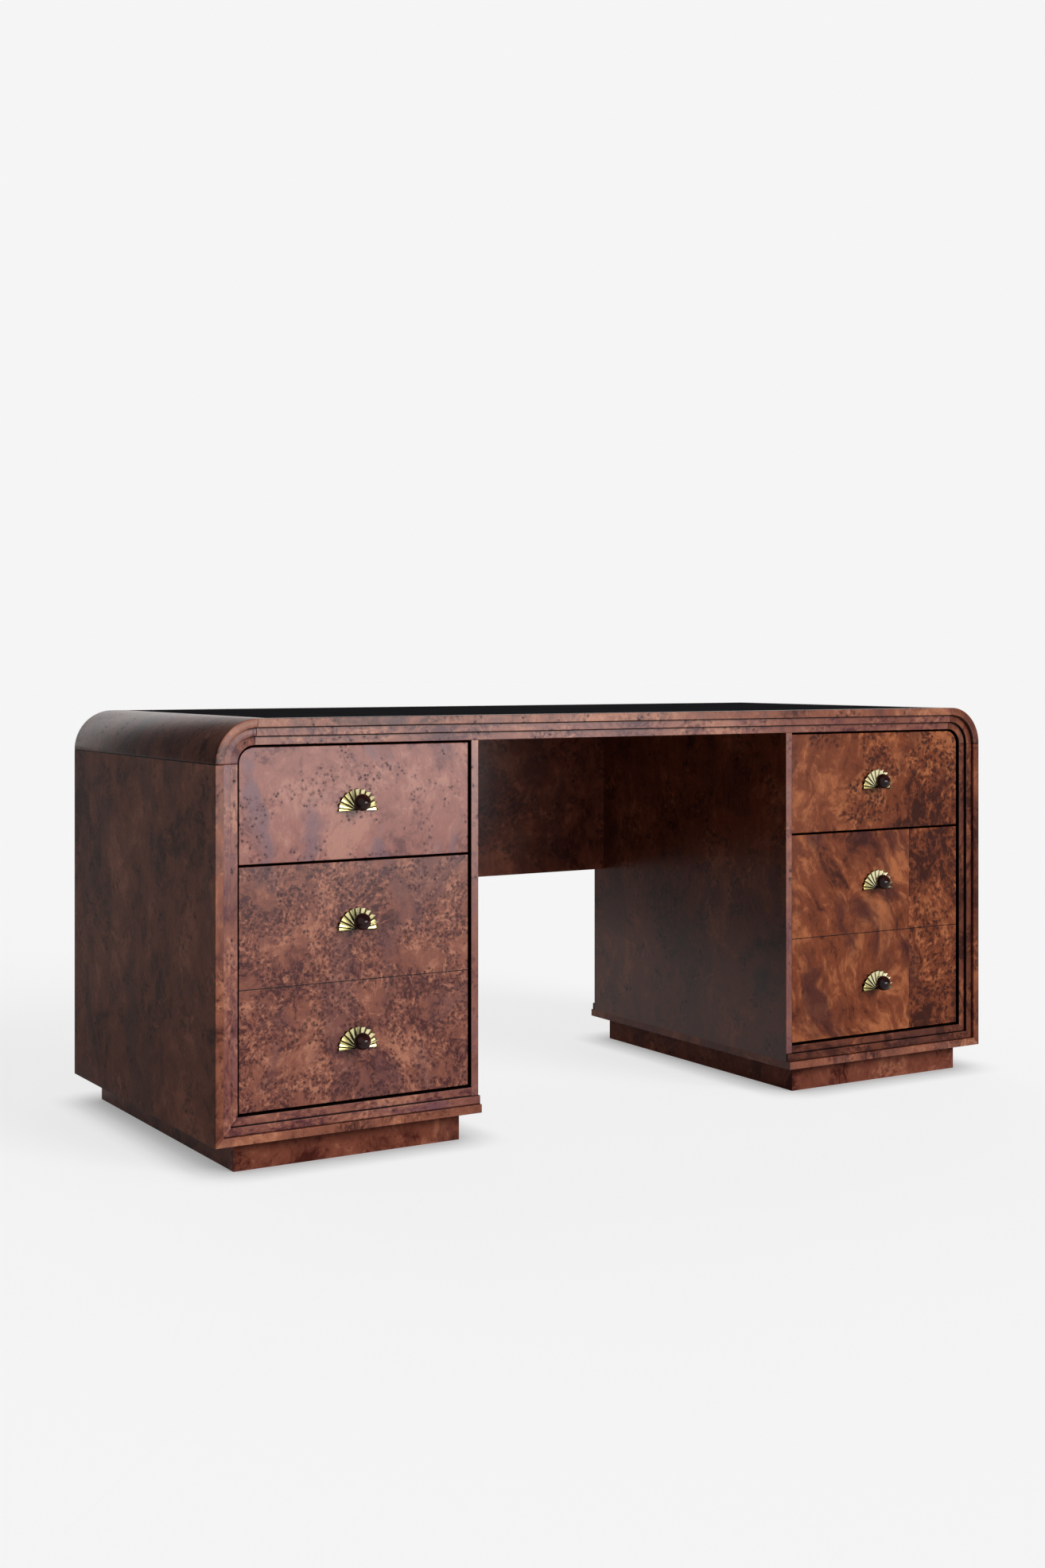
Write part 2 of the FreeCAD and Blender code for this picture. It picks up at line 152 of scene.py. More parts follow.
def noise(tree, vector, scale, detail=2.0, roughness=0.5, distortion=0.0):
    """Noise node, whose first output is a value about a half."""
    values = {"Vector": vector, "Scale": scale, "Detail": detail}
    values.update({"Roughness": roughness, "Distortion": distortion})
    return place(tree, "ShaderNodeTexNoise", values)


def new_finish(name):
    """Material with its tree, its shader and its object coordinates."""
    material = bpy.data.materials.new(name)
    material.use_nodes = True
    tree = material.node_tree
    coordinates = place(tree, "ShaderNodeTexCoord").outputs["Object"]
    return material, tree, tree.nodes["Principled BSDF"], coordinates


def new_group(name, inputs, outputs):
    """Empty shader group with named sockets. Returns its tree and its input and output nodes."""
    tree = bpy.data.node_groups.new(name, "ShaderNodeTree")
    for socket_name, (kind, default) in inputs.items():
        socket = tree.interface.new_socket(name=socket_name, in_out="INPUT", socket_type=kind)
        socket.default_value = default
    for socket_name, kind in outputs.items():
        tree.interface.new_socket(name=socket_name, in_out="OUTPUT", socket_type=kind)
    return tree, tree.nodes.new("NodeGroupInput"), tree.nodes.new("NodeGroupOutput")


NUMBER = "NodeSocketFloat"
COLOUR = "NodeSocketColor"
ARROW = "NodeSocketVector"
print("node helpers ready")

# %% [markdown]
# ## Burl figure
# Burl veneer is cut from a knotty outgrowth of the tree. Its ground is cloudy and swirls, and clusters
# of small dark eyes with mottled wood between them lie on it. A photograph of veneer would be the
# quick way, but it repeats and can't be relit, so the figure is worked out from layered noise.
# Each panel was covered with its own leaf, so the group has inputs that make every leaf different.

# %% Burl figure group
BURL_INPUTS = {
    "Vector": (ARROW, (0, 0, 0)),
    "Joint": (NUMBER, 900.0),
    "Beyond": (NUMBER, 0.0),
    "Lean": (NUMBER, 0.0),
    "Slant": (NUMBER, 0.0),
    "Cluster": (NUMBER, 0.5),
    "Clouds": (NUMBER, 1.0),
    "Curl": (NUMBER, 1.0),
    "Feather": (NUMBER, 0.5),
    "Mottle": (NUMBER, 1.0),
    "Knots": (NUMBER, 0.6),
    "Eyes": (NUMBER, 0.8),
    "Smoke": (NUMBER, 0.5),
    "Deep": (COLOUR, (0.055, 0.01, 0.005, 1)),
    "Ground": (COLOUR, (0.17, 0.04, 0.017, 1)),
    "Bright": (COLOUR, (0.33, 0.105, 0.05, 1)),
    "Smoke Tone": (COLOUR, (0.05, 0.015, 0.016, 1)),
}
BURL_OUTPUTS = {"Color": COLOUR, "Roughness": NUMBER, "Height": NUMBER}
burl_group, given, result = new_group("burl figure", BURL_INPUTS, BURL_OUTPUTS)
value = given.outputs
print("burl figure:", len(BURL_INPUTS), "inputs and", len(BURL_OUTPUTS), "outputs")

# %% [markdown]
# ## Ground of the burl
# The wood of a burl swirls, light and dark, and smoky drifts cross it. One noise alone would look like a
# cloud in the sky. Here three warps, each finer than the last, bend the wood before clouds, curls,
# feathers and speckle set its tone, and a cluster mask says where the burl is dense. Past its joint, a
# panel goes on with a second leaf, which comes from another place in the figure.

# %% Burl ground
LEAF_JUMP = 3.7
CLUSTER_BORDER = 0.14
SPECKLE_STRENGTH = 2.2


def warp(tree, vector, scale, reach):
    """Pushes each point aside by up to about half of reach, in the noise's own direction."""
    push = noise(tree, vector, scale, 2.0).outputs["Color"]
    centred = vector_maths(tree, "SUBTRACT", push, (0.5, 0.5, 0.5))
    values = {0: centred, "Scale": reach}
    scaled = place(tree, "ShaderNodeVectorMath", values, operation="SCALE").outputs[0]
    return vector_maths(tree, "ADD", vector, scaled)


def swing(tree, field, strength):
    """Noise moved from about a half to about zero, times its strength."""
    return maths(tree, "MULTIPLY", maths(tree, "SUBTRACT", field, 0.5), strength)


tree = burl_group
past_joint = maths(tree, "SUBTRACT", parts(tree, value["Vector"])["X"], value["Joint"])
second_leaf = maths(tree, "MULTIPLY", maths(tree, "GREATER_THAN", past_joint, 0.0), value["Beyond"])
jump_length = maths(tree, "MULTIPLY", second_leaf, LEAF_JUMP)
jump = place(tree, "ShaderNodeCombineXYZ", {"Y": jump_length}).outputs[0]
leaf = vector_maths(tree, "ADD", value["Vector"], jump)
slow = warp(tree, leaf, scale=5.0, reach=0.12)
curled = warp(tree, slow, scale=28.0, reach=0.035)
knotted = warp(tree, curled, scale=85.0, reach=0.014)

share = maths(tree, "ADD", value["Cluster"], second_leaf)
share = maths(tree, "MULTIPLY_ADD", past_joint, value["Lean"], share)
threshold = maths(tree, "MULTIPLY_ADD", share, -0.4, 0.7)
field = noise(tree, slow, scale=15.0, detail=3.0, roughness=0.55).outputs[0]
clusters = fade(tree, field, threshold, maths(tree, "ADD", threshold, CLUSTER_BORDER))

clouds = noise(tree, slow, scale=6.0, detail=3.0).outputs[0]
curls = noise(tree, curled, scale=22.0, detail=4.0, roughness=0.6).outputs[0]
turn = {"Vector": curled, "Angle": value["Slant"]}
slanted = place(tree, "ShaderNodeVectorRotate", turn, rotation_type="Y_AXIS").outputs[0]
drawn = vector_maths(tree, "MULTIPLY", slanted, (55.0, 55.0, 11.0))
feathers = noise(tree, drawn, scale=1.0, detail=5.0, roughness=0.62).outputs[0]
speckle = noise(tree, knotted, scale=75.0, detail=5.0, roughness=0.68).outputs[0]
mottle = maths(tree, "MULTIPLY", maths(tree, "MULTIPLY_ADD", clusters, 0.75, 0.25), value["Mottle"])

tone = maths(tree, "ADD", swing(tree, clouds, value["Clouds"]), swing(tree, curls, value["Curl"]))
tone = maths(tree, "ADD", tone, swing(tree, feathers, value["Feather"]))
tone = maths(tree, "MULTIPLY_ADD", swing(tree, speckle, SPECKLE_STRENGTH), mottle, tone)
low = mixed(tree, fade(tree, tone, -0.36, 0.02), value["Deep"], value["Ground"])
shade = mixed(tree, fade(tree, tone, 0.0, 0.36), low, value["Bright"])

streaks = vector_maths(tree, "MULTIPLY", slanted, (11.0, 11.0, 4.0))
drift = noise(tree, streaks, scale=1.0, detail=4.0, roughness=0.55).outputs[0]
smoke = maths(tree, "MULTIPLY", fade(tree, drift, 0.5, 0.66), value["Smoke"])
shade = mixed(tree, smoke, shade, value["Smoke Tone"])
print("burl ground:", len(tree.nodes), "nodes")

# %% [markdown]
# ## Knots and eyes
# The clusters of a burl are full of buds that never grew out. They could be dots scattered by hand, but
# cells do it on a panel of any size: one set gives the pebbly knots with their darker rims and another
# the eyes with their soft halos. An eye is a small dull pit, so the lacquer's sheen is lost on it and it
# looks dark from every side.

# %% Knots and eyes
KNOTS_PER_METRE = 115.0
EYES_PER_METRE = 95.0
EYE_BROWN = (0.03, 0.01, 0.011, 1)
SMALLEST_EYE = 0.03
EYE_GROWTH = 0.27
PIT_SHARE = 0.45
HALO_SHARE = 2.4
HALO_STRENGTH = 0.5


def product(tree, first, *others):
    """All the values multiplied."""
    for other in others:
        first = maths(tree, "MULTIPLY", first, other)
    return first


pushed = warp(tree, leaf, scale=100.0, reach=0.016)
pebbles = place(tree, "ShaderNodeTexVoronoi", {"Vector": pushed, "Scale": KNOTS_PER_METRE})
chance = place(tree, "ShaderNodeSeparateColor", {0: pebbles.outputs["Color"]}).outputs[0]
knot_rim = maths(tree, "MULTIPLY_ADD", fade(tree, pebbles.outputs["Distance"], 0.0, 0.3), 0.4, 0.6)
knot_round = maths(tree, "MULTIPLY", fade(tree, pebbles.outputs["Distance"], 0.64, 0.2), knot_rim)
knots = product(tree, knot_round, fade(tree, chance, 0.15, 0.75), clusters)
shade = mixed(tree, maths(tree, "MULTIPLY", knots, value["Knots"]), shade, value["Deep"])

shaken = warp(tree, leaf, scale=180.0, reach=0.006)
cells = place(tree, "ShaderNodeTexVoronoi", {"Vector": shaken, "Scale": EYES_PER_METRE})
chance = place(tree, "ShaderNodeSeparateColor", {0: cells.outputs["Color"]}).outputs[1]
shown = maths(tree, "MULTIPLY", fade(tree, clusters, 0.0, 0.6), value["Eyes"])
size = maths(tree, "MULTIPLY_ADD", fade(tree, chance, 0.1, 0.8), EYE_GROWTH, SMALLEST_EYE)
core = fade(tree, cells.outputs["Distance"], size, maths(tree, "MULTIPLY", size, PIT_SHARE))
halo = fade(tree, cells.outputs["Distance"], maths(tree, "MULTIPLY", size, HALO_SHARE), size)
shade = mixed(tree, product(tree, halo, shown, HALO_STRENGTH), shade, value["Deep"])
pits = maths(tree, "MULTIPLY", core, shown)
shade = mixed(tree, pits, shade, EYE_BROWN)
print("burl with knots and eyes:", len(tree.nodes), "nodes")

# %% [markdown]
# ## Fibres and sheen
# Seen closely, every leaf has fine fibres along its length, which make its tone and its sheen a little
# uneven. Scratches on an image would do it too, but noise drawn out along one axis has no edge and no
# end. The knots and the eyes are duller than the wood around them. The group hands on the colour, the
# roughness and the height of the fibres, from which each material makes its own bumps.

# %% Fibres and sheen
FIBRE_DARK = (0.91, 0.91, 0.91, 1)
FIBRE_PALE = (1.08, 1.08, 1.08, 1)
WOOD_DULLNESS = 0.22
FIBRE_DULLNESS = 0.06
KNOT_DULLNESS = 0.4
EYE_DULLNESS = 0.6
fibre_place = vector_maths(tree, "MULTIPLY", slow, (700.0, 700.0, 90.0))
fibres = noise(tree, fibre_place, scale=1.0, detail=2.0).outputs[0]
fibre_tone = fade(tree, fibres, 0.25, 0.75)
fibre_shade = mixed(tree, fibre_tone, FIBRE_DARK, FIBRE_PALE)
shade = mixed(tree, 1.0, shade, fibre_shade, "MULTIPLY")

rough = maths(tree, "MULTIPLY_ADD", fibre_tone, FIBRE_DULLNESS, WOOD_DULLNESS)
rough = maths(tree, "MAXIMUM", rough, maths(tree, "MULTIPLY", knots, KNOT_DULLNESS))
rough = maths(tree, "MAXIMUM", rough, maths(tree, "MULTIPLY", pits, EYE_DULLNESS))
straight = vector_maths(tree, "MULTIPLY", value["Vector"], (500.0, 500.0, 70.0))
plain_fibres = noise(tree, straight, scale=1.0, detail=2.0)
tree.links.new(shade, result.inputs["Color"])
tree.links.new(rough, result.inputs["Roughness"])
tree.links.new(plain_fibres.outputs[0], result.inputs["Height"])
print("burl figure:", len(tree.nodes), "nodes")

# %% [markdown]
# ## Painted shade in the steps
# Little light reaches into the inner corner under each step of the frame, so a dark line of shade follows
# every step, and here it is painted. A thin strip could be modelled for each line. Here a small group works
# out how deep a point lies inside the desk's outline, a rectangle with two round corners, and marks the
# first two millimetres past each step for the painted shade. Rails, stiles and curved lengths all use it,
# so the lines meet at every joint.

# %% Painted step shade group
STEP_SHADE_WIDTH = 0.0022
STEP_SHADE_START = 0.0002
STEP_SHADE_FULL_SHARE = 0.4
shell_low, shell_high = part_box("right_corner_shell")
floor_low, floor_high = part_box("floor_panels")
stile_low, stile_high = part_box("front_right_stile")
outline_radius = shell_high.x - shell_low.x
shell_thickness = floor_high.z - floor_low.z
band_width = (stile_high.x - stile_low.x) / 2
step_shade_group, given, result = new_group("painted step shade", {"Vector": (ARROW, (0, 0, 0))}, {"Step Shade": NUMBER})
tree = step_shade_group
spot = parts(tree, given.outputs["Vector"])
beside = maths(tree, "SUBTRACT", maths(tree, "ABSOLUTE", spot["X"]), shell_low.x)
above = maths(tree, "SUBTRACT", spot["Z"], shell_low.z)
past_x = maths(tree, "MAXIMUM", beside, 0.0)
past_z = maths(tree, "MAXIMUM", above, 0.0)
squares = maths(tree, "ADD", maths(tree, "POWER", past_x, 2.0), maths(tree, "POWER", past_z, 2.0))
round_part = maths(tree, "SQRT", squares)
straight_part = maths(tree, "MINIMUM", maths(tree, "MAXIMUM", beside, above), 0.0)
reach = maths(tree, "SUBTRACT", maths(tree, "ADD", round_part, straight_part), outline_radius)
reach = maths(tree, "MAXIMUM", reach, maths(tree, "SUBTRACT", floor_low.z, spot["Z"]))
depth = maths(tree, "MULTIPLY", reach, -1.0)
# Painted shade: a dark line just past each step's inner corner.
step_shade = 0.0
steps = (shell_thickness, shell_thickness + band_width)
for step_depth in steps:
    begun = fade(tree, depth, step_depth - STEP_SHADE_START, step_depth)
    ended = fade(tree, depth, step_depth + STEP_SHADE_WIDTH, step_depth + STEP_SHADE_WIDTH * STEP_SHADE_FULL_SHARE)
    step_shade = maths(tree, "MAXIMUM", step_shade, maths(tree, "MULTIPLY", begun, ended))
tree.links.new(step_shade, result.inputs["Step Shade"])
print("painted step shade:", len(tree.nodes), "nodes, steps at", [round(step, 4) for step in steps], "m")

# %% [markdown]
# ## Veneered leaves
# The real panels are covered leaf by leaf, each turned and shifted on its own sheet. One function
# makes a lacquered material around the burl group, and a Mapping node takes the leaf from its own
# place in the endless figure. A single material for the whole desk would be less work, but the
# figure would run through every joint as if the desk were carved from one block.
# The panels' thin front edges are lipped with the lighter veneer of the bands. Faces in the gaps round the
# drawers, the bottoms of their grooves and the sides of the frame's steps are painted black as painted
# shade, and the seams get a dark joint line. All are found by where a face looks or how deep it lies, so no
# face has to be picked by hand.

# %% Veneer materials
LACQUER_SPECULAR = 0.15
LEAF_SPREAD = 1.7
LEAF_WAY = Vector((1, -0.6, 0.3))
# Black for painted shade in gaps, grooves and steps, and for dark joint lines at the seams.
JOINT_AND_SHADE_BLACK = (0.005, 0.003, 0.003, 1)
SHARP = 0.0003
GRAIN_STRENGTH = 0.05
GRAIN_DEPTH = 0.0003


def looks_along(tree, axis, start=0.6, end=0.8):
    """1 on faces that look along this axis, either way, and 0 on the others. With a start above the
    end, 0 and 1 change places."""
    normal = place(tree, "ShaderNodeNewGeometry").outputs["Normal"]
    return fade(tree, maths(tree, "ABSOLUTE", reach_along(tree, normal, axis)), start, end)


def veneer(name, number, turn=(0, 0, 0), scale=(1, 1, 1), lip=None, dark_sides=False, dark_past=None,
           dark_steps=0.0, shift=(0, 0, 0), specular=LACQUER_SPECULAR, **values):
    """Lacquered veneer whose leaf starts at its own numbered place in the figure.
    Lip gives the colours of the front and back edges, dark_sides paints all but the front and back black
    as painted shade, dark_past paints black what lies further along a direction than a distance, which is
    painted shade in gaps and grooves and a dark joint line at seams, and dark_steps is the strength of the
    painted shade in the steps."""
    material, tree, shader, coordinates = new_finish(name)
    start = LEAF_WAY * LEAF_SPREAD * number + Vector(shift)
    spot = {"Vector": coordinates, "Location": start, "Rotation": turn, "Scale": scale}
    mapped = place(tree, "ShaderNodeMapping", spot).outputs[0]
    figure = place(tree, "ShaderNodeGroup", {}, node_tree=burl_group)
    tree.links.new(mapped, figure.inputs["Vector"])
    for key, setting in values.items():
        figure.inputs[key].default_value = setting
    if "Joint" in values:
        figure.inputs["Joint"].default_value = values["Joint"] * scale[0] + start[0]
    facing = looks_along(tree, (0, 1, 0)) if lip or dark_sides else None
    for key, colour in (lip or {}).items():
        tree.links.new(mixed(tree, facing, figure.inputs[key].default_value, colour), figure.inputs[key])
    colour = figure.outputs["Color"]
    rough = figure.outputs["Roughness"]
    # Painted shade: every face but the front and back turns black.
    if dark_sides:
        colour = mixed(tree, facing, JOINT_AND_SHADE_BLACK, colour)
    # Painted shade: a dark line in the inner corner of each step of the frame.
    if dark_steps:
        step_shade = place(tree, "ShaderNodeGroup", {}, node_tree=step_shade_group)
        tree.links.new(coordinates, step_shade.inputs["Vector"])
        strength = maths(tree, "MULTIPLY", step_shade.outputs["Step Shade"], dark_steps)
        colour = mixed(tree, strength, colour, JOINT_AND_SHADE_BLACK)
        rough = maths(tree, "MAXIMUM", rough, step_shade.outputs["Step Shade"])
    # Painted black past a depth: shade in gaps, grooves and recesses, or a dark joint line at a seam.
    if dark_past:
        direction, distance = dark_past
        past = fade(tree, reach_along(tree, coordinates, direction), distance, distance + SHARP)
        colour = mixed(tree, past, colour, JOINT_AND_SHADE_BLACK)
    ripple = {"Height": figure.outputs["Height"], "Strength": GRAIN_STRENGTH, "Distance": GRAIN_DEPTH}
    grain = place(tree, "ShaderNodeBump", ripple)
    tree.links.new(colour, shader.inputs["Base Color"])
    tree.links.new(rough, shader.inputs["Roughness"])
    tree.links.new(grain.outputs[0], shader.inputs["Normal"])
    shader.inputs["Specular IOR Level"].default_value = specular
    return material


print("veneer maker ready")

# %% [markdown]
# ## Tones
# Stain takes differently on every leaf: the left drawers are rosy, the right ones amber, the sides umber
# and claret, and the frame's bands lighter than what they enclose. One brown for all would leave the
# differences to the lights, and the desk would look cast in one piece. So each kind of leaf has
# its own four colours: the deep one of its knots, its ground, its bright wood and its smoke.

# %% Tones


def tones(deep, ground, bright, smoke):
    """The four colours of a leaf."""
    names = ("Deep", "Ground", "Bright", "Smoke Tone")
    return {name: (*colour, 1) for name, colour in zip(names, (deep, ground, bright, smoke))}


PALE_ROSE = tones((0.12, 0.03, 0.028), (0.285, 0.1, 0.077), (0.4, 0.17, 0.124), (0.175, 0.083, 0.1))
ROSE = tones((0.065, 0.016, 0.016), (0.235, 0.08, 0.053), (0.44, 0.18, 0.112), (0.1, 0.043, 0.05))
AMBER = tones((0.042, 0.008, 0.004), (0.188, 0.046, 0.018), (0.4, 0.13, 0.052), (0.055, 0.013, 0.012))
CLARET = tones((0.05, 0.009, 0.006), (0.16, 0.04, 0.02), (0.3, 0.1, 0.055), (0.05, 0.016, 0.016))
BAND = tones((0.085, 0.02, 0.026), (0.25, 0.088, 0.062), (0.44, 0.185, 0.115), (0.15, 0.062, 0.085))
DARK_BAND = tones((0.045, 0.012, 0.008), (0.155, 0.046, 0.027), (0.34, 0.11, 0.054), (0.08, 0.027, 0.023))
LIP = tones((0.06, 0.015, 0.01), (0.26, 0.086, 0.05), (0.48, 0.195, 0.105), (0.11, 0.046, 0.045))
RUSSET = tones((0.06, 0.011, 0.008), (0.195, 0.052, 0.028), (0.34, 0.118, 0.068), (0.06, 0.02, 0.02))
PLINTH = tones((0.055, 0.011, 0.008), (0.18, 0.053, 0.032), (0.32, 0.115, 0.068), (0.055, 0.02, 0.02))
UMBER = tones((0.05, 0.014, 0.008), (0.165, 0.05, 0.028), (0.28, 0.1, 0.06), (0.06, 0.028, 0.025))
# Painted shade: the top and curved corners get darker tones than the side panels, so faces turned up to the
# key sun look shaded.
SHADED_TOP_TONES = tones((0.035, 0.012, 0.008), (0.115, 0.04, 0.025), (0.195, 0.074, 0.046), (0.05, 0.024, 0.022))
KNEE_TONES = tones((0.018, 0.004, 0.002), (0.128, 0.031, 0.014), (0.28, 0.09, 0.044), (0.038, 0.013, 0.013))
print("twelve sets of tones")

# %% [markdown]
# ## Which leaf goes where
# Panels of one kind share their figure: the thin bands, the outer shell, the fronts, the kneehole. Every
# panel could be painted by hand, but each change of light would mean painting it again. So a table gives
# each node its tones, its figure and the way its leaf lies, and one loop dresses them all.

# %% Leaves
from itertools import count

DARK_TRIM = dict(specular=0.08, **DARK_BAND)
# The bands get painted shade: black step and gap sides, and a dark line in each step's inner corner.
TRIM = dict(Cluster=0.65, Clouds=1.3, Mottle=0.9, Knots=0.7, Eyes=0.9, Smoke=0.7, Feather=0.6,
            dark_sides=True, dark_steps=0.85)
RAIL = dict(turn=(0, quarter, 0), scale=(0.8, 1, 1.1), **TRIM)
STILE = dict(scale=(1.1, 1, 0.8), **TRIM)
SHELL = dict(Cluster=0.55, Mottle=0.7, Knots=0.5, Eyes=0.9, Clouds=1.3, Feather=0.25)
KNEE = dict(Cluster=0.5, Clouds=0.8, Curl=0.6, Mottle=0.6, Knots=0.7, Eyes=1.0, Feather=0.3,
            specular=0.23, **KNEE_TONES)
BASE = dict(Cluster=0.5, Mottle=0.8, specular=0.03, **PLINTH)
PLAIN = dict(Cluster=0.6, Mottle=0.8)
FACE_DEPTH = 0.0002
KNEE_DEPTH = 0.0005
SEAM_LINE = 0.0011
# Past this depth the fronts' edges in the drawer gaps and their groove bottoms are painted black, as
# painted shade.
drawer_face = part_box("left_top_drawer_front")[0].y + FACE_DEPTH
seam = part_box("left_side_panel")[1].z
# Past this depth the knee panels' sides in the drawer gaps are painted black, as painted shade.
knee_inside = -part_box("left_knee_panel")[0].x - KNEE_DEPTH
FRONT = dict(dark_past=((0, 1, 0), drawer_face))
RIGHT_FRONT = dict(specular=0.1, **AMBER, **FRONT)
SIDE = dict(dark_past=((0, 0, 1), seam - SEAM_LINE), **SHELL)
LEAVES = {
    "left_top_drawer_front": dict(
        Cluster=0.6, Clouds=1.6, Mottle=0.7, Knots=0.5, Eyes=1.0, Smoke=0.9, Feather=0.8,
        scale=(1.35, 1.35, 1.35), **PALE_ROSE, **FRONT),
    "left_deep_drawer_front": dict(
        Cluster=0.8, Mottle=1.05, Knots=0.8, Eyes=1.0, Smoke=0.45, Feather=0.25,
        scale=(1.45, 1.45, 1.45), **ROSE, **FRONT),
    "right_top_drawer_front": dict(
        Cluster=0.6, Joint=0.57, Lean=2.0, Slant=-0.5, Clouds=1.4, Curl=0.8, Feather=0.95, Smoke=0.65,
        Mottle=0.8, Knots=1.0, Eyes=1.0, **RIGHT_FRONT),
    "right_deep_drawer_front": dict(
        Cluster=0.25, Joint=0.682, Beyond=0.7, Slant=0.5, Clouds=1.7, Curl=0.8, Feather=1.2, Smoke=0.8,
        Mottle=0.7, Knots=1.0, Eyes=1.0, shift=(0, 0, -0.19), **RIGHT_FRONT),
    "left_side_panel": dict(lip=LIP, specular=0.1, **SIDE, **UMBER),
    "right_side_panel": dict(lip=DARK_BAND, specular=0.07, **SIDE, **CLARET),
    # The top's veneer is painted darker than the sides, as painted shade.
    "top_panel": dict(lip=LIP, **SHELL, **SHADED_TOP_TONES),
    "left_knee_panel": dict(lip=BAND, dark_past=((-1, 0, 0), knee_inside), **KNEE),
    "right_knee_panel": dict(lip=BAND, dark_past=((1, 0, 0), knee_inside), **KNEE),
    "modesty_panel": {**PLAIN, **RUSSET},
    "back_panels": {**PLAIN, **AMBER},
    "floor_panels": dict(lip=LIP, **PLAIN, **CLARET),
    "left_plinth": BASE,
    "right_plinth": BASE,
    "front_top_rail": {**RAIL, **BAND},
    "back_top_rail": {**RAIL, **BAND},
    "front_left_stile": {**STILE, **BAND},
    "front_right_stile": {**STILE, **DARK_TRIM},
    "back_stiles": {**STILE, **BAND},
    "front_left_foot_rail": {**RAIL, **BAND},
    "front_right_foot_rail": {**RAIL, **DARK_TRIM},
    "back_foot_rails": {**RAIL, **BAND},
}


def dress(node_name, material):
    """Gives a node of the frame one material in all its slots."""
    mesh = nodes[node_name].data
    mesh.materials.clear()
    mesh.materials.append(material)


leaf_numbers = count()
for node_name, values in LEAVES.items():
    dress(node_name, veneer(node_name + "_veneer", next(leaf_numbers), **values))


def frame_veneer(name, colours=BAND):
    """Veneer of the narrow bands, for the curved lengths."""
    return veneer(name, next(leaf_numbers), **{**STILE, **colours})


print("veneered", len(LEAVES), "nodes")

# %% [markdown]
# ## Plain timber, steel and brass
# The drawers are pale straight-grained wood inside, the runners are zinc-plated steel and the fans are
# polished brass, darkened near the drawer by tarnish and a painted dark reflection in its folds, with
# painted shade in black on its rim edges. Flat colours would do from far away, but an open drawer is
# looked at closely, so wood gets its grain, drawn out along the board, and metal gets its faint uneven
# polish.

# %% Timber and metal
TIMBER_SPECULAR = 0.35
PORE_STRETCH = (6, 6, 6)
WORN_SHARE = 0.88


def straight_timber(name, stretch, pale, dark):
    """Straight grain: noise drawn out along the board."""
    material, tree, shader, coordinates = new_finish(name)
    drawn = vector_maths(tree, "MULTIPLY", coordinates, stretch)
    rings = noise(tree, drawn, scale=1.0, detail=5.0, roughness=0.6, distortion=0.4).outputs[0]
    finer = vector_maths(tree, "MULTIPLY", drawn, PORE_STRETCH)
    pores = noise(tree, finer, scale=1.0, detail=2.0).outputs[0]
    colour = mixed(tree, fade(tree, rings, 0.3, 0.7), dark, pale)
    colour = mixed(tree, maths(tree, "MULTIPLY", fade(tree, pores, 0.58, 0.7), 0.35), colour, dark)
    tree.links.new(colour, shader.inputs["Base Color"])
    tree.links.new(maths(tree, "MULTIPLY_ADD", pores, 0.2, 0.4), shader.inputs["Roughness"])
    bump = place(tree, "ShaderNodeBump", {"Height": rings, "Strength": 0.1, "Distance": 0.0004})
    tree.links.new(bump.outputs[0], shader.inputs["Normal"])
    shader.inputs["Specular IOR Level"].default_value = TIMBER_SPECULAR
    return material


def uneven_metal(name, colour, roughness, spread, scale, stretch=(1, 1, 1), tarnish_and_shade=None):
    """Metal whose polish wanders a little. The last argument gives a colour and the two depths along Y
    between
    which it starts and is full: it darkens the folds near the drawer, partly as tarnish and partly as a
    painted dark reflection, and paints shade black on the edges that look aside, the rim walls under the
    folds."""
    material, tree, shader, coordinates = new_finish(name)
    drawn = vector_maths(tree, "MULTIPLY", coordinates, stretch)
    polish = noise(tree, drawn, scale, detail=4.0, roughness=0.6).outputs[0]
    worn = (*[part * WORN_SHARE for part in colour[:3]], 1)
    tone = mixed(tree, fade(tree, polish, 0.3, 0.7), worn, colour)
    if tarnish_and_shade:
        dull, start, end = tarnish_and_shade
        deep = fade(tree, parts(tree, coordinates)["Y"], start, end)
        # Painted shade: faces that look aside, the rim walls under the folds, turn black.
        edges = looks_along(tree, (0, 1, 0), 0.45, 0.3)
        tone = mixed(tree, maths(tree, "MAXIMUM", deep, edges), tone, dull)
    tree.links.new(tone, shader.inputs["Base Color"])
    tree.links.new(maths(tree, "MULTIPLY_ADD", polish, spread, roughness), shader.inputs["Roughness"])
    shader.inputs["Metallic"].default_value = 1.0
    return material


PALE_WOOD = (0.52, 0.36, 0.2, 1)
PALE_PORE = (0.36, 0.22, 0.11, 1)
BROWN_WOOD = (0.3, 0.2, 0.12, 1)
BROWN_PORE = (0.2, 0.12, 0.07, 1)
ZINC_GREY = (0.56, 0.57, 0.59, 1)
BRASS_YELLOW = (0.93, 0.85, 0.53, 1)
TARNISH_AND_SHADE_BLACK = (0.004, 0.003, 0.001, 1)
FOLD_DARK_START = 0.0034
FOLD_DARK_FULL = 0.0021
drawer_timber = straight_timber("pale_drawer_timber", (60, 4, 60), PALE_WOOD, PALE_PORE)
carcass_timber = straight_timber("carcass_timber", (5, 60, 60), BROWN_WOOD, BROWN_PORE)
zinc = uneven_metal("zinc_steel", ZINC_GREY, roughness=0.25, spread=0.2, scale=40.0, stretch=(1, 0.1, 1))
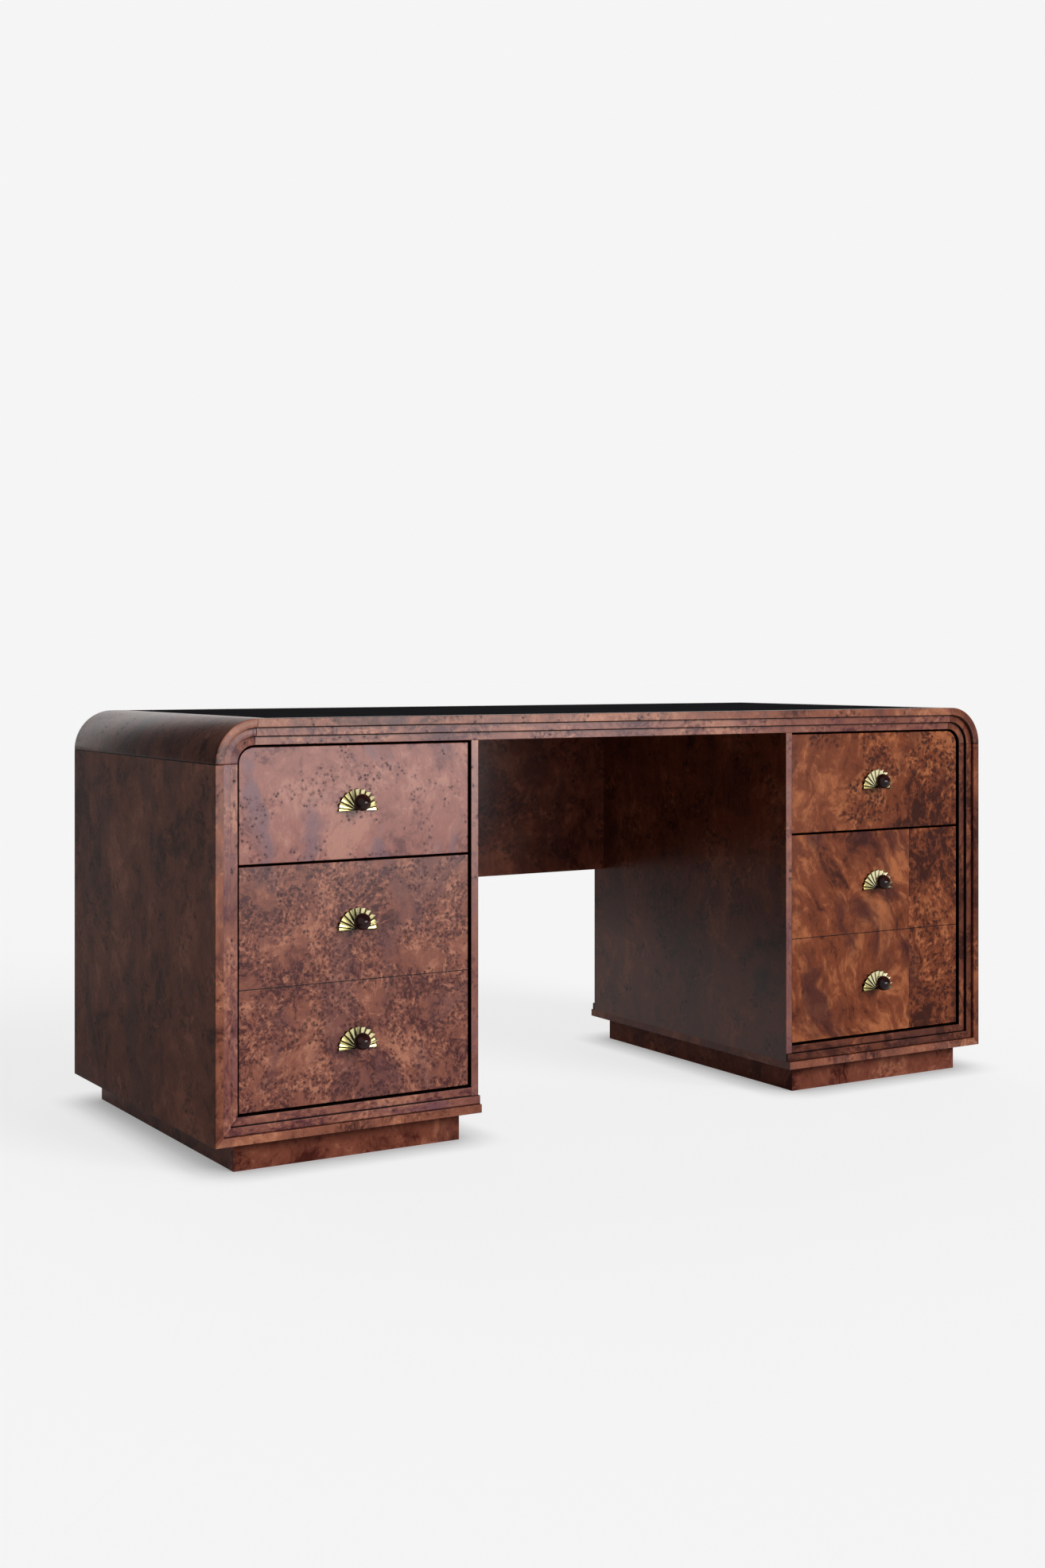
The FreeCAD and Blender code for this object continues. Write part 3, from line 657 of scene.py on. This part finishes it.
# Fold darkening near the drawer: partly tarnish, partly painted dark reflection and painted shade.
fold_tarnish_and_shade = (TARNISH_AND_SHADE_BLACK, drawer_face - FOLD_DARK_START, drawer_face - FOLD_DARK_FULL)
brass = uneven_metal("polished_brass", BRASS_YELLOW, roughness=0.16, spread=0.14, scale=120.0,
                     tarnish_and_shade=fold_tarnish_and_shade)
print("timber and metal:", drawer_timber.name, carcass_timber.name, zinc.name, brass.name)

# %% [markdown]
# ## Ball lacquer and leather
# The balls are stained so dark that they look black until a light catches them, and the hide on the top
# is black with almost no sheen. One plain black could serve for both. From nearby, a faint red cloud in
# the lacquer and a fine pebbled grain in the hide tell them apart.

# %% Lacquer and leather
BALL_DARK = (0.012, 0.003, 0.003, 1)
BALL_RED = (0.03, 0.006, 0.006, 1)
HIDE_DARK = (0.0125, 0.0125, 0.0138, 1)
HIDE_PALE = (0.0155, 0.0155, 0.0168, 1)
HIDE_GRAINS_PER_METRE = 900.0
BALL_SPECULAR = 0.2


def dark_ball():
    """Oxblood lacquer: near-black red with a faint cloud in it."""
    material, tree, shader, coordinates = new_finish("oxblood_lacquer")
    cloud = noise(tree, coordinates, scale=90.0, detail=3.0).outputs[0]
    tone = mixed(tree, fade(tree, cloud, 0.3, 0.7), BALL_DARK, BALL_RED)
    tree.links.new(tone, shader.inputs["Base Color"])
    tree.links.new(maths(tree, "MULTIPLY_ADD", cloud, 0.06, 0.06), shader.inputs["Roughness"])
    shader.inputs["Specular IOR Level"].default_value = BALL_SPECULAR
    return material


def black_hide():
    """Smooth black leather: fine pebbled grain and a very low sheen."""
    material, tree, shader, coordinates = new_finish("black_leather")
    cells = place(tree, "ShaderNodeTexVoronoi", {"Vector": coordinates, "Scale": HIDE_GRAINS_PER_METRE})
    pebbles = cells.outputs["Distance"]
    drift = noise(tree, coordinates, scale=9.0, detail=3.0).outputs[0]
    tone = mixed(tree, fade(tree, drift, 0.3, 0.7), HIDE_DARK, HIDE_PALE)
    tree.links.new(tone, shader.inputs["Base Color"])
    tree.links.new(maths(tree, "MULTIPLY_ADD", drift, 0.1, 0.6), shader.inputs["Roughness"])
    bump = place(tree, "ShaderNodeBump", {"Height": pebbles, "Strength": 0.25, "Distance": 0.0003})
    tree.links.new(bump.outputs[0], shader.inputs["Normal"])
    shader.inputs["Specular IOR Level"].default_value = 0.0
    return material


ball_lacquer = dark_ball()
leather = black_hide()
print("lacquer and leather:", ball_lacquer.name, leather.name)

# %% [markdown]
# ## Inside the desk
# Drawer boxes, runners, screws and packing timber show when a drawer is pulled out. Their shapes in the
# frame are already those of plain boards and rolled sections, so they aren't modelled again and only
# get their materials.

# %% Inside


def plural(drawer):
    """A deep drawer has two fans, knobs and screws, so the names of their nodes end in s."""
    return "s" if "deep" in drawer else ""


drawers = ["left_top", "left_deep", "right_top", "right_deep"]
for drawer in drawers:
    dress(drawer + "_drawer_box", drawer_timber)
    dress(drawer + "_drawer_bottom", drawer_timber)
    dress(drawer + "_knob_screw" + plural(drawer), zinc)
    dress(drawer + "_runner_drawer_members", zinc)
    dress(drawer + "_runner_middle_members", zinc)
dress("runner_cabinet_members", zinc)
for node_name in ("top_core", "runner_battens", "plinth_blocks"):
    dress(node_name, carcass_timber)
print("plain materials given to drawers, runners and hidden timber")

# %% [markdown]
# ## Small tools for modelling
# The remade pieces grow by the same few moves: a flat section is drawn, some of its points, edges or
# faces are picked, the section is spun round an axis, and sharp edges are softened. On the screen they
# would be picked by hand. A script has to find the same ones on each run, so it asks where they lie.

# %% Modelling helpers
import bmesh

SAME_POINT = 0.00001


def fresh_start():
    """Leaves edit mode and deselects everything, because operators act on all that is selected."""
    if bpy.context.object and bpy.context.object.mode != "OBJECT":
        bpy.ops.object.mode_set(mode="OBJECT")
    bpy.ops.object.select_all(action="DESELECT")


def pick(kind, test):
    """In edit mode, selects the verts, edges or faces whose middle passes the test."""
    bpy.ops.mesh.select_mode(type={"verts": "VERT", "edges": "EDGE", "faces": "FACE"}[kind])
    bpy.ops.mesh.select_all(action="DESELECT")
    mesh = bmesh.from_edit_mesh(bpy.context.object.data)
    chosen = 0
    for element in getattr(mesh, kind):
        points = [element.co] if kind == "verts" else [vert.co for vert in element.verts]
        middle = sum(points, Vector()) / len(points)
        if test(middle):
            element.select_set(True)
            chosen += 1
    mesh.select_flush_mode()
    bmesh.update_edit_mesh(bpy.context.object.data)
    return chosen


def flat_section(name, low, high):
    """Rectangle between two corners at one height, left in edit mode with its place in its mesh."""
    fresh_start()
    middle = (Vector(low) + Vector(high)) / 2
    bpy.ops.mesh.primitive_plane_add(size=1, location=middle)
    piece = bpy.context.object
    piece.name = name
    piece.scale = (high[0] - low[0], high[1] - low[1], 1)
    bpy.ops.object.transform_apply(location=True, rotation=True, scale=True)
    bpy.ops.object.mode_set(mode="EDIT")
    return piece


def spin_closed(axis_place, angle, steps):
    """Spins the selected section round a line along Y and closes the skin it leaves."""
    bpy.ops.mesh.select_all(action="SELECT")
    bpy.ops.mesh.spin(steps=steps, angle=angle, center=axis_place, axis=(0, 1, 0))
    bpy.ops.mesh.select_all(action="SELECT")
    bpy.ops.mesh.remove_doubles(threshold=SAME_POINT)
    bpy.ops.mesh.normals_make_consistent(inside=False)
    bpy.ops.object.mode_set(mode="OBJECT")


def soften(piece, width, segments=3, limit=40):
    """Bevels the sharp edges, applies it and smooths the rest."""
    bevel = piece.modifiers.new("edges", "BEVEL")
    bevel.width = width
    bevel.segments = segments
    bevel.limit_method = "ANGLE"
    bevel.angle_limit = math.radians(limit)
    bpy.ops.object.modifier_apply(modifier=bevel.name)
    bpy.ops.object.shade_smooth_by_angle(angle=math.radians(limit - 5))


def finish_piece(piece, material, slot, body, *replaced):
    """Names the mesh, gives it its material and tells the frame what it replaces and rides on."""
    piece.data.name = piece.name
    piece.data.materials.clear()
    piece.data.materials.append(material)
    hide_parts(*replaced)
    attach(piece, body)


print("modelling helpers ready")

# %% [markdown]
# ## Curved corners
# Each corner is one bent panel between the side and the top. A quarter pipe could be cut from a tube,
# but spinning a flat section round the corner's axis is what the real bend does, and it gives even
# strips for a smooth highlight. A fine bevel on every edge leaves the hairline at the two seams.

# %% Corner shells
CORNER_STEPS = 28
SEAM_EDGE = 0.0008
for side, facing in (("left", -1), ("right", 1)):
    low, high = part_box(side + "_corner_shell")
    outer_x = low.x if facing < 0 else high.x
    inner_x = outer_x - facing * shell_thickness
    axis_x = high.x if facing < 0 else low.x
    corners = sorted((outer_x, inner_x))
    shell = flat_section(side + "_corner", (corners[0], low.y, low.z), (corners[1], high.y, low.z))
    spin_closed((axis_x, 0, low.z), facing * quarter, CORNER_STEPS)
    soften(shell, SEAM_EDGE)
    lip = LIP if facing < 0 else DARK_BAND
    # The curved corners' veneer is painted darker than the sides, as painted shade.
    material = veneer(side + "_corner_veneer", next(leaf_numbers), lip=lip,
                      dark_past=((0, 0, -1), -seam - SEAM_LINE), **SHELL, **SHADED_TOP_TONES)
    finish_piece(shell, material, "burl_veneer", "carcass", side + "_corner_shell")
    print(shell.name, "faces", len(shell.data.polygons), [round(v, 4) for v in shell.bound_box[0]],
          [round(v, 4) for v in shell.bound_box[6]])

# %% [markdown]
# ## Stepped corners of the frame
# Inside each curved corner two narrow bands turn with the shell, the inner one set back by a step.
# Lathe-turned rings could be quartered for it. Here the section is drawn flat at the seam, cut in two
# where the bands meet, the outer half pulled forward, and the whole section spun round the same axis.

# %% Frame corners
TOUCH = 0.0001
BAND_EDGE = 0.0008


def frame_corner(name, side, towards):
    """A quarter turn of both bands. Towards is -1 on the front of the desk and 1 on its back."""
    facing = -1 if side == "left" else 1
    shell_low, shell_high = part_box(side + "_corner_shell")
    stile_low, stile_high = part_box("front_" + side + "_stile")
    axis_x = shell_high.x if facing < 0 else shell_low.x
    step = stile_low.y - shell_low.y
    outer_face = (shell_low.y if towards < 0 else shell_high.y) - towards * step
    inner_face = outer_face - towards * step
    rear = outer_face - towards * (stile_high.y - stile_low.y)
    near, far = sorted((inner_face, rear))
    seam = shell_low.z
    piece = flat_section(name, (stile_low.x, near, seam), (stile_high.x, far, seam))
    middle_x = (stile_low.x + stile_high.x) / 2
    bpy.ops.mesh.select_all(action="SELECT")
    bpy.ops.mesh.bisect(plane_co=(middle_x, 0, 0), plane_no=(1, 0, 0))
    pick("edges", lambda spot: abs(spot.y - inner_face) < TOUCH and facing * (spot.x - middle_x) > TOUCH)
    bpy.ops.mesh.extrude_region_move(TRANSFORM_OT_translate={"value": (0, towards * step, 0)})
    spin_closed((axis_x, 0, seam), facing * quarter, CORNER_STEPS)
    soften(piece, BAND_EDGE)
    return piece


def joined(pieces, name):
    """One object, under its own name, from one or several."""
    fresh_start()
    for piece in pieces:
        piece.select_set(True)
    bpy.context.view_layer.objects.active = pieces[0]
    if len(pieces) > 1:
        bpy.ops.object.join()
    pieces[0].name = name
    return pieces[0]


front_left = frame_corner("front_left_bands", "left", -1)
front_right = frame_corner("front_right_bands", "right", -1)
back_pair = [frame_corner("back_" + side + "_bands", side, 1) for side in ("left", "right")]
back_bands = joined(back_pair, "back_bands")
replaced = {"front_left_corner": front_left, "front_right_corner": front_right, "back_corners": back_bands}
for node_name, piece in replaced.items():
    colours = DARK_TRIM if piece == front_right else BAND
    material = frame_veneer(piece.name + "_veneer", colours)
    finish_piece(piece, material, "frame_veneer", "carcass", node_name)
    print(piece.name, "faces", len(piece.data.polygons))

# %% [markdown]
# ## Brass fans
# Behind every ball sits a half-round plate folded like a fan: ten ridges with valleys between, all
# running out of the middle of the straight edge. A wave along a curve could fold it, but a circle of
# triangles already has the folds as edges: half of it is kept, every second rim point is pulled
# forward, the sheet is drawn back to the drawer, and the ridges are rounded by a bevel.

# %% Fan plates
FAN_PLEATS = 10
FAN_VALLEY_SHARE = 36 / 39
FAN_ROOT_HEIGHT = 0.0014
FAN_EDGE = 0.00035
FAN_HOLE_PLAY = 0.0002
BORE_SIDES = 32
SLIVER = 0.00002
NECK_RADIUS = 0.005
BALL_RADIUS = 0.015


def knob_heights(drawer):
    """Heights of the knobs' middles on one drawer, found from the knobs' box."""
    low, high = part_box(drawer + "_knob" + plural(drawer))
    heights = [low.z + BALL_RADIUS, high.z - BALL_RADIUS]
    return heights if plural(drawer) else heights[:1]


def fan(name, x, face_y, base_z, radius, rim_height):
    """Pleated half-round plate on the drawer's face, round the middle of its straight edge."""
    fresh_start()
    centre = Vector((x, face_y, base_z))
    corners = 4 * FAN_PLEATS
    bpy.ops.mesh.primitive_circle_add(vertices=corners, radius=radius, fill_type="TRIFAN",
                                      location=centre, rotation=(quarter, 0, 0))
    piece = bpy.context.object
    piece.name = name
    bpy.ops.object.transform_apply(location=True, rotation=True, scale=True)
    bpy.ops.object.mode_set(mode="EDIT")
    pick("faces", lambda spot: spot.z < base_z)
    bpy.ops.mesh.delete(type="FACE")
    fold_angle = 2 * math.pi / corners

    def fold_of(spot):
        return round(math.atan2(spot.z - base_z, spot.x - x) / fold_angle)

    def on_rim(spot):
        return (spot - centre).length > radius / 2

    pick("verts", lambda spot: on_rim(spot) and fold_of(spot) % 2 == 1)
    valley = (FAN_VALLEY_SHARE, 1, FAN_VALLEY_SHARE)
    bpy.ops.transform.resize(value=valley, center_override=centre)
    bpy.ops.transform.translate(value=(0, -FAN_ROOT_HEIGHT, 0))
    pick("verts", lambda spot: on_rim(spot) and fold_of(spot) % 2 == 0)
    bpy.ops.transform.translate(value=(0, -rim_height, 0))
    pick("verts", lambda spot: not on_rim(spot))
    bpy.ops.transform.translate(value=(0, -FAN_ROOT_HEIGHT, 0))
    bpy.ops.mesh.select_all(action="SELECT")
    bpy.ops.mesh.extrude_region_move()
    bpy.ops.transform.resize(value=(1, 0, 1), center_override=centre)
    bpy.ops.mesh.select_all(action="SELECT")
    bpy.ops.mesh.normals_make_consistent(inside=False)
    bpy.ops.object.mode_set(mode="OBJECT")
    soften(piece, FAN_EDGE, segments=2, limit=15)
    return piece


def bore(piece, x, z, radius, reach):
    """Round hole through the piece along Y, cut by a cylinder that is deleted again. The cut leaves
    slivers where it meets a fold, and they are merged away."""
    near, far = reach
    fresh_start()
    bpy.ops.mesh.primitive_cylinder_add(vertices=BORE_SIDES, radius=radius, depth=far - near,
                                        location=(x, (near + far) / 2, z), rotation=(quarter, 0, 0))
    drill = bpy.context.object
    bpy.ops.object.select_all(action="DESELECT")
    piece.select_set(True)
    bpy.context.view_layer.objects.active = piece
    cut = piece.modifiers.new("bore", "BOOLEAN")
    cut.operation = "DIFFERENCE"
    cut.solver = "EXACT"
    cut.object = drill
    bpy.ops.object.modifier_apply(modifier=cut.name)
    bpy.data.objects.remove(drill)
    bpy.ops.object.mode_set(mode="EDIT")
    bpy.ops.mesh.select_all(action="SELECT")
    bpy.ops.mesh.remove_doubles(threshold=SLIVER)
    bpy.ops.mesh.dissolve_degenerate(threshold=SLIVER)
    bpy.ops.object.mode_set(mode="OBJECT")


for drawer in drawers:
    node_name = drawer + "_fan_plate" + plural(drawer)
    low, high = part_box(node_name)
    knob_x = (low.x + high.x) / 2
    radius = (high.x - low.x) / 2
    plates = []
    through = (low.y - BALL_RADIUS, high.y + BALL_RADIUS)
    for number, height in enumerate(knob_heights(drawer)):
        plate = fan(f"{drawer}_fan_{number}", knob_x, high.y, height - BALL_RADIUS, radius, high.y - low.y)
        bore(plate, knob_x, height, NECK_RADIUS + FAN_HOLE_PLAY, through)
        plates.append(plate)
    plate = joined(plates, drawer + "_fan" + plural(drawer))
    finish_piece(plate, brass, "polished_brass", drawer + "_drawer", node_name)
    print(plate.name, "faces", len(plate.data.polygons))

# %% [markdown]
# ## Ball knobs
# A dark lacquered ball stands on a short neck in front of each fan. A ball on a separate cylinder
# would leave a hard ring where they cross. Here the back of a sphere is sliced off where it is as
# narrow as the neck, and the edge of the slice is drawn back to the drawer, so both are one skin.

# %% Knobs
BALL_SEGMENTS = 64
BALL_RINGS = 32
NECK_EDGE = 0.0006


def ball_knob(name, x, front_y, face_y, z):
    """Ball and neck in one skin, from the ball's front to the drawer's face."""
    fresh_start()
    centre_y = front_y + BALL_RADIUS
    bpy.ops.mesh.primitive_uv_sphere_add(segments=BALL_SEGMENTS, ring_count=BALL_RINGS, radius=BALL_RADIUS,
                                         location=(x, centre_y, z), rotation=(quarter, 0, 0))
    piece = bpy.context.object
    piece.name = name
    bpy.ops.object.transform_apply(location=True, rotation=True, scale=True)
    bpy.ops.object.mode_set(mode="EDIT")
    bpy.ops.mesh.select_all(action="SELECT")
    neck_start = centre_y + math.sqrt(BALL_RADIUS ** 2 - NECK_RADIUS ** 2)
    bpy.ops.mesh.bisect(plane_co=(x, neck_start, z), plane_no=(0, 1, 0), clear_outer=True)
    bpy.ops.mesh.extrude_region_move(TRANSFORM_OT_translate={"value": (0, face_y - neck_start, 0)})
    bpy.ops.mesh.edge_face_add()
    bpy.ops.mesh.select_all(action="SELECT")
    bpy.ops.mesh.normals_make_consistent(inside=False)
    bpy.ops.object.mode_set(mode="OBJECT")
    soften(piece, NECK_EDGE)
    return piece


for drawer in drawers:
    node_name = drawer + "_knob" + plural(drawer)
    low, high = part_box(node_name)
    knob_x = (low.x + high.x) / 2
    knobs = []
    for number, height in enumerate(knob_heights(drawer)):
        knobs.append(ball_knob(f"{drawer}_ball_{number}", knob_x, low.y, high.y, height))
    knob = joined(knobs, drawer + "_ball" + plural(drawer))
    finish_piece(knob, ball_lacquer, "oxblood_ball", drawer + "_drawer", node_name)
    print(knob.name, "faces", len(knob.data.polygons))

# %% [markdown]
# ## Leather
# The writing surface is a black hide glued into a shallow bed in the top. A flat sheet would have a
# knife edge, while a real hide is pared thin and burnished down at its border. The sheet is a plane
# raised to a slab and inset once: the border slopes down a little, and a bevel rounds the outer edge.

# %% Writing surface
PARED_BORDER = 0.004
PARED_DROP = 0.0005
HIDE_EDGE = 0.0004
low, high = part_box("leather_inset")
hide = flat_section("leather_sheet", (low.x, low.y, low.z), (high.x, high.y, low.z))
bpy.ops.mesh.select_all(action="SELECT")
bpy.ops.mesh.extrude_region_move(TRANSFORM_OT_translate={"value": (0, 0, high.z - low.z - PARED_DROP)})
bpy.ops.mesh.inset(thickness=PARED_BORDER)
bpy.ops.transform.translate(value=(0, 0, PARED_DROP))
bpy.ops.mesh.select_all(action="SELECT")
bpy.ops.mesh.normals_make_consistent(inside=False)
bpy.ops.object.mode_set(mode="OBJECT")
soften(hide, HIDE_EDGE)
finish_piece(hide, leather, "black_leather", "carcass", "leather_inset")
print(hide.name, "faces", len(hide.data.polygons))

# %% [markdown]
# ## Stage
# The desk stands on a plain pale floor that melts into the background. The floor glows a little by
# itself, as a lit table does, so that its shadows stay light, and the world behind it has the floor's
# own brightness, so no edge shows where they meet. Where the floor is closed in by the desk its glow is
# dimmed, a painted contact shadow round the plinths. Mirrors see the same floor, with one exception: left
# of the desk, out of the picture, they see a painted grey patch, a painted dark reflection that keeps the
# dark side panel from turning milky.

# %% Floor
FLOOR_SIZE = 160.0
FLOOR_GLOW = 0.753
FLOOR_PALE = (0.2, 0.2, 0.2, 1)
FLOOR_BOUNCE = (0.46, 0.455, 0.455, 1)
FLOOR_WHITE = (1.0, 1.0, 1.0, 1)
FLOOR_CONTACT_SHADOW = (0.25, 0.248, 0.248, 1)
CONTACT_SHADOW_REACH = 0.08
NO_GLOW = (0.0, 0.0, 0.0, 1)
MIRROR_PATCH_GREY = (0.12, 0.12, 0.12, 1)
MIRROR_PATCH_FRONT = (-1.3, -0.6)
MIRROR_PATCH_INSIDE = 0.03
MIRROR_PATCH_OUTSIDE = 0.08
desk_left = cad_box[0][0]
mirror_patch_side = (desk_left + MIRROR_PATCH_INSIDE, desk_left - MIRROR_PATCH_OUTSIDE)


def seen_directly(tree):
    """1 for rays from the camera and for rays that mirrors and glass pass on."""
    path = place(tree, "ShaderNodeLightPath").outputs
    shown = maths(tree, "MAXIMUM", path["Is Camera Ray"], path["Is Glossy Ray"])
    return maths(tree, "MAXIMUM", shown, path["Is Transmission Ray"])


fresh_start()
bpy.ops.mesh.primitive_plane_add(size=FLOOR_SIZE, location=(0, 0, 0))
floor = bpy.context.object
floor.name = "floor"
floor_material, tree, floor_shader, coordinates = new_finish("floor")
shown = seen_directly(tree)
spot = parts(tree, coordinates)
# Painted dark reflection: a grey patch left of the desk that only mirrors see.
mirror_patch = maths(tree, "MULTIPLY", fade(tree, spot["X"], *mirror_patch_side), fade(tree, spot["Y"], *MIRROR_PATCH_FRONT))
mirrored = place(tree, "ShaderNodeLightPath").outputs["Is Glossy Ray"]
# Painted contact shadow: the glow dims where the floor is closed in by the desk.
openness = place(tree, "ShaderNodeAmbientOcclusion", {"Distance": CONTACT_SHADOW_REACH}).outputs["AO"]
glow = mixed(tree, openness, FLOOR_CONTACT_SHADOW, FLOOR_WHITE)
glow = mixed(tree, maths(tree, "MULTIPLY", mirror_patch, mirrored), glow, MIRROR_PATCH_GREY)
tree.links.new(mixed(tree, shown, NO_GLOW, glow), floor_shader.inputs["Emission Color"])
tree.links.new(mixed(tree, shown, FLOOR_BOUNCE, FLOOR_PALE), floor_shader.inputs["Base Color"])
floor_shader.inputs["Emission Strength"].default_value = FLOOR_GLOW
floor_shader.inputs["Roughness"].default_value = 1.0
floor_shader.inputs["Specular IOR Level"].default_value = 0.0
floor.data.materials.append(floor_material)
print("floor", FLOOR_SIZE, "m wide")

# %% [markdown]
# ## Room
# The world is the studio. The camera sees it white. Diffuse light comes mostly from the front right,
# above the desk, and some from a white backdrop at the back left, which lights the lower half of the
# kneehole. Mirrors see a white screen behind the desk and another at the front left, with the dark
# room between them, and that contrast is what makes brass look polished. A photographed room would
# give all this at once, but then none of it could be moved.

# %% World
BACKGROUND = (0.913, 0.913, 0.913, 1)
DARK_ROOM = (0.12, 0.12, 0.125, 1)
DIM_LIGHT = (0.03, 0.03, 0.031, 1)
SOFT_LIGHT = (0.4, 0.4, 0.4, 1)
# Each part of the room has an axis and the two reaches along it between which it fades in
LIT_SIDE = ((0.5, -0.55, 0.67), 0.0, 0.9)
BACKDROP = ((-0.4, 0.92, 0), 0.55, 0.95)
FRONT_SCREEN = ((-0.8, -0.6, 0), 0.3, 0.7)
BACK_SCREEN = ((0.5, 0.85, 0), 0.68, 0.85)


def facing_part(tree, direction, axis, start, end):
    """How much a direction belongs to the part of the room that lies along an axis."""
    return fade(tree, reach_along(tree, direction, axis), start, end)


world = bpy.data.worlds.new("studio")
bpy.context.scene.world = world
world.use_nodes = True
tree = world.node_tree
direction = place(tree, "ShaderNodeTexCoord").outputs["Generated"]
room = mixed(tree, facing_part(tree, direction, *LIT_SIDE), DIM_LIGHT, SOFT_LIGHT)
room = mixed(tree, facing_part(tree, direction, *BACKDROP), room, BACKGROUND)
front_screen = facing_part(tree, direction, *FRONT_SCREEN)
back_screen = facing_part(tree, direction, *BACK_SCREEN)
screens = maths(tree, "MAXIMUM", front_screen, back_screen)
path = place(tree, "ShaderNodeLightPath").outputs
sky = mixed(tree, path["Is Glossy Ray"], room, mixed(tree, screens, DARK_ROOM, BACKGROUND))
straight = maths(tree, "MAXIMUM", path["Is Camera Ray"], path["Is Transmission Ray"])
sky = mixed(tree, straight, sky, BACKGROUND)
tree.links.new(sky, tree.nodes["Background"].inputs["Color"])
print("world:", len(tree.nodes), "nodes")

# %% [markdown]
# ## Lights
# A sun with a wide disc gives soft shadows, and a weaker one keeps the back from going black. Neither
# makes a highlight. Those come from one wide, low softbox at the front right, which lays its haze over
# the left drawers and a highlight on every ball. Lamps alone could light the desk as well, but their
# small mirror images would sit on the lacquer as hard spots. The softbox is kept low, because a tall
# one is mirrored in the top when the desk is seen from behind.

# %% Lights


def sun(name, strength, disc, turn):
    """Sunlight with a disc and a turn in degrees. It gives no highlight of its own."""
    data = bpy.data.lights.new(name, "SUN")
    data.energy = strength
    data.angle = math.radians(disc)
    lamp = bpy.data.objects.new(name, data)
    lamp.rotation_euler = [math.radians(angle) for angle in turn]
    lamp.visible_glossy = False
    bpy.context.scene.collection.objects.link(lamp)


sun("key", strength=2.5, disc=28, turn=(62, 0, 25))
sun("fill", strength=1.0, disc=60, turn=(66, 0, 155))
SOFTBOX_SIZE = (2.6, 1.1)
SOFTBOX_RADIANCE = 12.0
SOFTBOX_PLACE = (1.15, -3.6, 0.75)
SOFTBOX_TURN = math.radians(10)
softbox_data = bpy.data.lights.new("softbox", "AREA")
softbox_data.shape = "RECTANGLE"
softbox_data.size = SOFTBOX_SIZE[0]
softbox_data.size_y = SOFTBOX_SIZE[1]
softbox_data.energy = SOFTBOX_RADIANCE * math.pi * SOFTBOX_SIZE[0] * SOFTBOX_SIZE[1]
softbox = bpy.data.objects.new("softbox", softbox_data)
softbox.location = SOFTBOX_PLACE
softbox.rotation_euler = (quarter, 0, SOFTBOX_TURN)
softbox.visible_camera = False
softbox.visible_diffuse = False
bpy.context.scene.collection.objects.link(softbox)
bpy.context.scene.view_settings.view_transform = "Standard"
print("lights: two suns and a softbox of", SOFTBOX_SIZE, "m")
